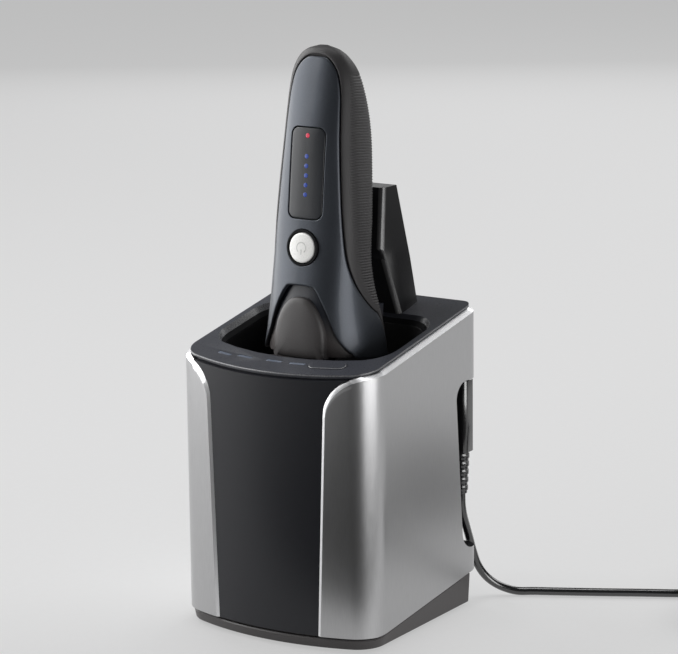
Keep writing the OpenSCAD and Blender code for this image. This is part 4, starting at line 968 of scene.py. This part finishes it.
def narrowed(point):
    """A point of the CAD panel, moved along the bow so that the panel's edges lean in towards its foot."""
    x, y, z = point
    share = max(0.0, 1 - panel_height(z)) * (1 - PANEL_LOW / PANEL_CAD_LOW)
    angle = math.atan2(x, BOW_Y - y) * (1 - share)
    r = math.hypot(x, BOW_Y - y)
    return r * math.sin(angle), BOW_Y - r * math.cos(angle), z


# The polished band between the satin side and the dark front: the satin edge, as (outline, height), and the
# band's inner edge, as (outline, height, inset). They follow the panel's curve and run out into the rim.
BAND_DEPTH = 0.8
SATIN_EDGE = [(28.25, 95.2), (28.9, 98.7), (30.5, 101.9), (32.9, 104.8), (35.9, 107.2), (39.0, 108.8),
              (42.2, 109.8), (46.2, 110.45), (50.4, 110.85), (54.6, 111.2)]
INNER_EDGE = [(27.1, 95.2, 0.8), (27.6, 99.0, 0.8), (29.15, 102.6, 0.8), (31.55, 105.9, 0.8),
              (34.6, 108.4, 0.85), (37.6, 109.9, 1.0), (40.6, 110.85, 1.35), (44.6, 111.55, 1.9),
              (49.4, 112.25, 2.6), (54.6, 112.98, 3.0)]
PANEL_LEAN_END = 54
SHELL_ROWS, SHELL_SHARP = 60, 28
SIDE_PLACES, BACK_PLACES = 28, 16


def shell_edges():
    """The two edges of the band as dense curves of (outline, height, inset)."""
    satin = smooth_open([(t, z, 0.0) for t, z in SATIN_EDGE], PER_SPAN)
    inner = smooth_open(INNER_EDGE, PER_SPAN)
    for t in np.concatenate([np.linspace(PLAN_ENDS[1], PLAN_ENDS[2], SIDE_PLACES)[1:],
                             np.linspace(PLAN_ENDS[2], PLAN_ENDS[4], BACK_PLACES)[1:]]):
        satin.append(np.array([t, rim_z(t) - RIM_DROP, 0.0]))
        inner.append(np.array([t, rim_z(t, SHELL_T), SHELL_T]))
    return satin, inner


def shell_sheet(edge, inset, side):
    """Points below an edge curve, row by row from the shell's foot, moved in by an inset. The first columns
    lean with the panel's edge."""
    out = []
    for i in range(SHELL_ROWS + 1):
        for t, z, _ in edge:
            low = shell_low(t)
            height = low + (z - low) * i / SHELL_ROWS
            lean = panel_edge(STRAIGHT_TOP) - panel_edge(min(height, STRAIGHT_TOP))
            near_panel = 1 - float(eased(t, edge[0][0], PANEL_LEAN_END))
            x, y = plan_point(t - near_panel * lean, inset)
            out.append((side * x, y, height))
    return out


def build_shell(node, side):
    """A silver side shell with its polished band. The right one is open at the cord bay."""
    satin, inner = shell_edges()
    rows, n = SHELL_ROWS, len(satin)
    outer = shell_sheet(satin, 0.0, side)
    within = shell_sheet(inner, SHELL_T, side)
    straight = []
    for i in range(rows + 1):
        low = shell_low(inner[0][0])
        z = low + (STRAIGHT_TOP - low) * i / rows
        x, y = plan_point(panel_edge(z), BAND_DEPTH)
        straight.append((side * x, y, z))
    curved = [(side * plan_point(t, d)[0], plan_point(t, d)[1], z) for t, z, d in inner]
    verts = outer + within + straight + curved
    second, third = len(outer), len(outer) + len(within)
    fourth = third + len(straight)
    faces, indices = [], []

    def quad(a, b, c, d, index=0):
        faces.append((a, b, c, d))
        indices.append(index)

    for i in range(rows):
        for j in range(n - 1):
            a = i * n + j
            quad(a, a + 1, a + n + 1, a + n)
            quad(second + a, second + a + n, second + a + n + 1, second + a + 1)
        quad(i * n, (i + 1) * n, third + i + 1, third + i, 1)
        quad(third + i, third + i + 1, second + (i + 1) * n, second + i * n)
        last = i * n + n - 1
        quad(last, second + last, second + last + n, last + n)
    top = rows * n
    for j in range(n - 1):
        quad(top + j, top + j + 1, fourth + j + 1, fourth + j, 1)
        quad(fourth + j, fourth + j + 1, second + top + j + 1, second + top + j)
        quad(j, second + j, second + j + 1, j + 1)
    faces.append((0, third, second))
    faces.append((top + n - 1, fourth + n - 1, second + top + n - 1))
    indices.extend([0, 0])
    mats = [LOOK["silver_shell"], POLISHED]
    shell = finished(node + "_skin", verts, faces, mats, indices, sharp=SHELL_SHARP)
    if side > 0:
        cut(shell, [bay_cutter()])
    stands_for(shell, node)


BAY_X = 33.6
BAY_LOW, BAY_TOP = 25.0, 96.0
BAY_LOW_R, BAY_TOP_R = 8.0, 7.0
BAY_LOW_IN, BAY_TOP_IN = 5.5, 11
BAY_PAST_BACK, BAY_PAST_SIDE = 12, 8
BAY_ARC = 14


def bay_cutter():
    """The cord bay's space, open to the side and to the back."""
    outline = [(REAR_Y + BAY_PAST_BACK, BAY_LOW)]
    low_corner = (REAR_Y - BAY_LOW_IN, BAY_LOW + BAY_LOW_R)
    top_corner = (REAR_Y - BAY_TOP_IN, BAY_TOP - BAY_TOP_R)
    for (y, z), r, first in ((low_corner, BAY_LOW_R, 270), (top_corner, BAY_TOP_R, 180)):
        for a in np.linspace(first, first - 90, BAY_ARC):
            sin_a, cos_a = turned(a)
            outline.append((y + r * cos_a, z + r * sin_a))
    outline.append((REAR_Y + BAY_PAST_BACK, BAY_TOP))
    verts = [(x, y, z) for x in (BAY_X, HALF_W + BAY_PAST_SIDE) for y, z in outline]
    return finished("cut_bay", verts, closed_tube(len(verts), len(outline)), [DARK_TRIM_AND_SHADE])


SKIRT_LOW, SKIRT_GAP, SKIRT_ROUND = 0.9, 1.0, 0.4
SKIRT_IN, SKIRT_FOOT_IN, SKIRT_LOW_IN, SKIRT_HIGH_IN, SKIRT_TOP_IN = 3.3, 2.2, 1.8, 1.1, 1.5
SKIRT_PLACES = (24, 16, 24)


def build_skirt():
    """The band round the foot of the station, open at the back and a gap below the shells."""
    verts = []
    for t in round_front(SKIRT_PLACES):
        high = shell_low(abs(t)) - SKIRT_GAP
        profile = [(SKIRT_FOOT_IN, SKIRT_LOW), (SKIRT_LOW_IN, SKIRT_LOW + SKIRT_ROUND),
                   (SKIRT_HIGH_IN, high - SKIRT_ROUND), (SKIRT_TOP_IN, high), (SKIRT_IN, high),
                   (SKIRT_IN, SKIRT_LOW)]
        for inset, z in profile:
            x, y = plan_point(abs(t), inset)
            verts.append((math.copysign(x, t), y, z))
    skirt = finished("base_skirt", verts, closed_tube(len(verts), len(profile)), [LOOK["dark_base"]])
    goes_with(skirt, "base_tray")


BEZEL_RISE, BEZEL_EDGE, BEAD_R = 1.2, 1.85, 0.5
BEAD_PLACES = (40, 20, 30)
BEAD_STEP = 30


def build_bead():
    """The rounded lip along the edge of the station's top, in the lighter slate of a painted highlight."""
    turn = np.radians(np.arange(0, 360, BEAD_STEP))
    verts = []
    for t in round_front(BEAD_PLACES):
        top = rim_z(abs(t), BEZEL_EDGE + BEAD_R) + BEZEL_RISE
        for a in turn:
            x, y = plan_point(abs(t), BEZEL_EDGE + BEAD_R * (1 - math.cos(a)))
            verts.append((math.copysign(x, t), y, top - BEAD_R * (1 - math.sin(a))))
    goes_with(finished("bezel_lip", verts, closed_tube(len(verts), len(turn)), [SLATE_PAINTED_HIGHLIGHT]), "top_bezel")


FACING, TALL_EDGE = 0.6, 13


def front_corner(edge):
    """Whether an edge is a tall one between the front and a side."""
    front = any(f.normal.y < -FACING for f in edge.link_faces)
    side = any(abs(f.normal.x) > FACING for f in edge.link_faces)
    return front and side and edge.calc_length() > TALL_EDGE * MM


# The well's chamfer takes the edges' painted highlight, down to where the well takes painted shade
CHAMFER_UP = (0.4, 0.8)
BEVEL_SEEN, BEZEL_ROUND = 2.2, 0.7


def build_top():
    """The station's top with painted highlights on its edges and painted shade in its well."""
    bezel = dress("top_bezel", BEZEL_ROUND, steps=3, painted_highlight_look=SLATE_PAINTED_HIGHLIGHT, sharp=SHARP_FLAT)
    for face in bezel.data.polygons:
        if CHAMFER_UP[0] < face.normal.z < CHAMFER_UP[1]:
            face.material_index = 1
    # Below the chamfer the well's walls take painted shade
    well_from = (0.0, FRONT_Y, TOP_Z + BEZEL_RISE - BEVEL_SEEN)
    paint_shade_below(bezel, well_from, (0.0, -TOP_RISE, 1.0), DARK_TRIM_AND_SHADE)


# Radii of the CAD shapes' edges
PANEL_ROUND, SELECT_ROUND, TOWER_ROUND = 0.3, 0.5, 1.4
ROUNDED = {"base_tray": 0.4, "cord_bay": 0.4, "rear_panel": 0.3, "lamp_windows": 0.1, "cleaning_tray": 0.4,
           "water_tank": 0.4, "head_frame": 0.5, "foil_frame": 0.3, "button_ring": 0.15, "trimmer_slide": 0.3}

build_shell("left_shell", -1)
build_shell("right_shell", 1)
dress("front_panel", PANEL_ROUND, warp=narrowed)
dressed = {node: dress(node, width) for node, width in ROUNDED.items()}
dressed["button_ring"].data.materials[0] = DARK_TRIM_AND_SHADE
# The select button's rounded edges take the slate's painted highlight
dress("select_button", SELECT_ROUND, steps=3, painted_highlight_look=SLATE_PAINTED_HIGHLIGHT, sharp=SHARP_FLAT)
# The tower's tall front corners are rounded in a lighter colour, a painted highlight
tower = dress("contact_tower", TOWER_ROUND, steps=4, painted_highlight_look=TOWER_PAINTED_HIGHLIGHT, pick=front_corner, sharp=SHARP)
tower.data.materials[0] = TOWER
build_top()
build_skirt()
build_bead()

for name, node in NODES.items():
    node.data.materials[0] = LOOK[SLOT_OF[name]]


# Stage, in metres. A lamp has a place, an aim, a size and a power.
FLOOR_HALF, FLOOR_LOW = 30.0, -0.0002
FLOOR_PALE = 0.48
FLAG_FROM, FLAG_TO, FLAG_HALF, FLAG_Z = 0.1, 0.75, 0.3, 0.0004
WORLD_COLOR, WORLD_STRENGTH = (0.9, 0.92, 0.94), 0.06
LAMPS = {
    "left_box": ((-0.51, -0.2, 0.34), (0, -0.04, 0.2), (0.84, 0.6), 6.5),
    "left_back": ((-1.1, 0.5, 0.8), (0, 0, 0.1), (0.4, 0.4), 1.2),
    "right_box": ((0.56, -0.13, 0.12), (0.02, -0.02, 0.1), (0.46, 0.23), 1.6),
    "back_box": ((0.3, 1.3, 0.95), (0, 0.1, 0.1), (1.4, 0.7), 7.5),
    "top_box": ((-0.05, 0.1, 0.95), (-0.02, 0.02, 0), (0.36, 0.36), 1.6),
    "front_box": ((-0.66, -0.14, 0.86), (0, 0, 0.15), (0.4, 0.4), 2.4),
    "rim_box": ((-0.9, 1.4, 0.46), (0, 0, 0.2), (0.9, 0.46), 1.5),
}


def stage_sheet(name, corners, mat):
    """A flat sheet that isn't part of the object."""
    mesh = bpy.data.meshes.new(name)
    mesh.from_pydata(corners, [], [(0, 1, 2, 3)])
    mesh.materials.append(mat)
    sheet = placed(name, mesh)
    return sheet


def build_floor():
    """A pale floor. A part of its paleness is for what sees it, not for what it lights, so that it stays pale
    far from the lamps."""
    corners = [(x * FLOOR_HALF, y * FLOOR_HALF, FLOOR_LOW) for x, y in ((-1, -1), (1, -1), (1, 1), (-1, 1))]
    floor = stage_sheet("floor", corners, FLOOR)
    tree = FLOOR.node_tree
    path = tree.nodes.new("ShaderNodeLightPath")
    seen = path.outputs["Is Camera Ray"]
    for kind in ("Is Glossy Ray", "Is Transmission Ray"):
        either = tree.nodes.new("ShaderNodeMath")
        either.operation = "MAXIMUM"
        tree.links.new(seen, either.inputs[0])
        tree.links.new(path.outputs[kind], either.inputs[1])
        seen = either.outputs["Value"]
    shader = tree.nodes["Principled BSDF"]
    tree.links.new(seen, shader.inputs["Emission Strength"])
    put(shader, {"Emission Color": (FLOOR_PALE, FLOOR_PALE, FLOOR_PALE, 1.0)})
    return floor


def build_flag():
    """A black card on the floor in front of the station, which only reflections show, as in a studio."""
    sin_a, cos_a = turned(AZIMUTH)
    corners = [(out * sin_a + side * cos_a, -out * cos_a + side * sin_a, FLAG_Z)
               for out, side in ((FLAG_FROM, -FLAG_HALF), (FLAG_FROM, FLAG_HALF), (FLAG_TO, FLAG_HALF),
                                 (FLAG_TO, -FLAG_HALF))]
    flag = stage_sheet("black_flag", corners, FLAG)
    flag.visible_camera = flag.visible_diffuse = flag.visible_shadow = False


place_camera()
floor = build_floor()
build_flag()
set_world(WORLD_COLOR, WORLD_STRENGTH)
lamps = {name: area_light(name, *values) for name, values in LAMPS.items()}
keep_off([lamps["left_box"], lamps["right_box"]], floor)
SCENE.view_settings.view_transform = "Standard"
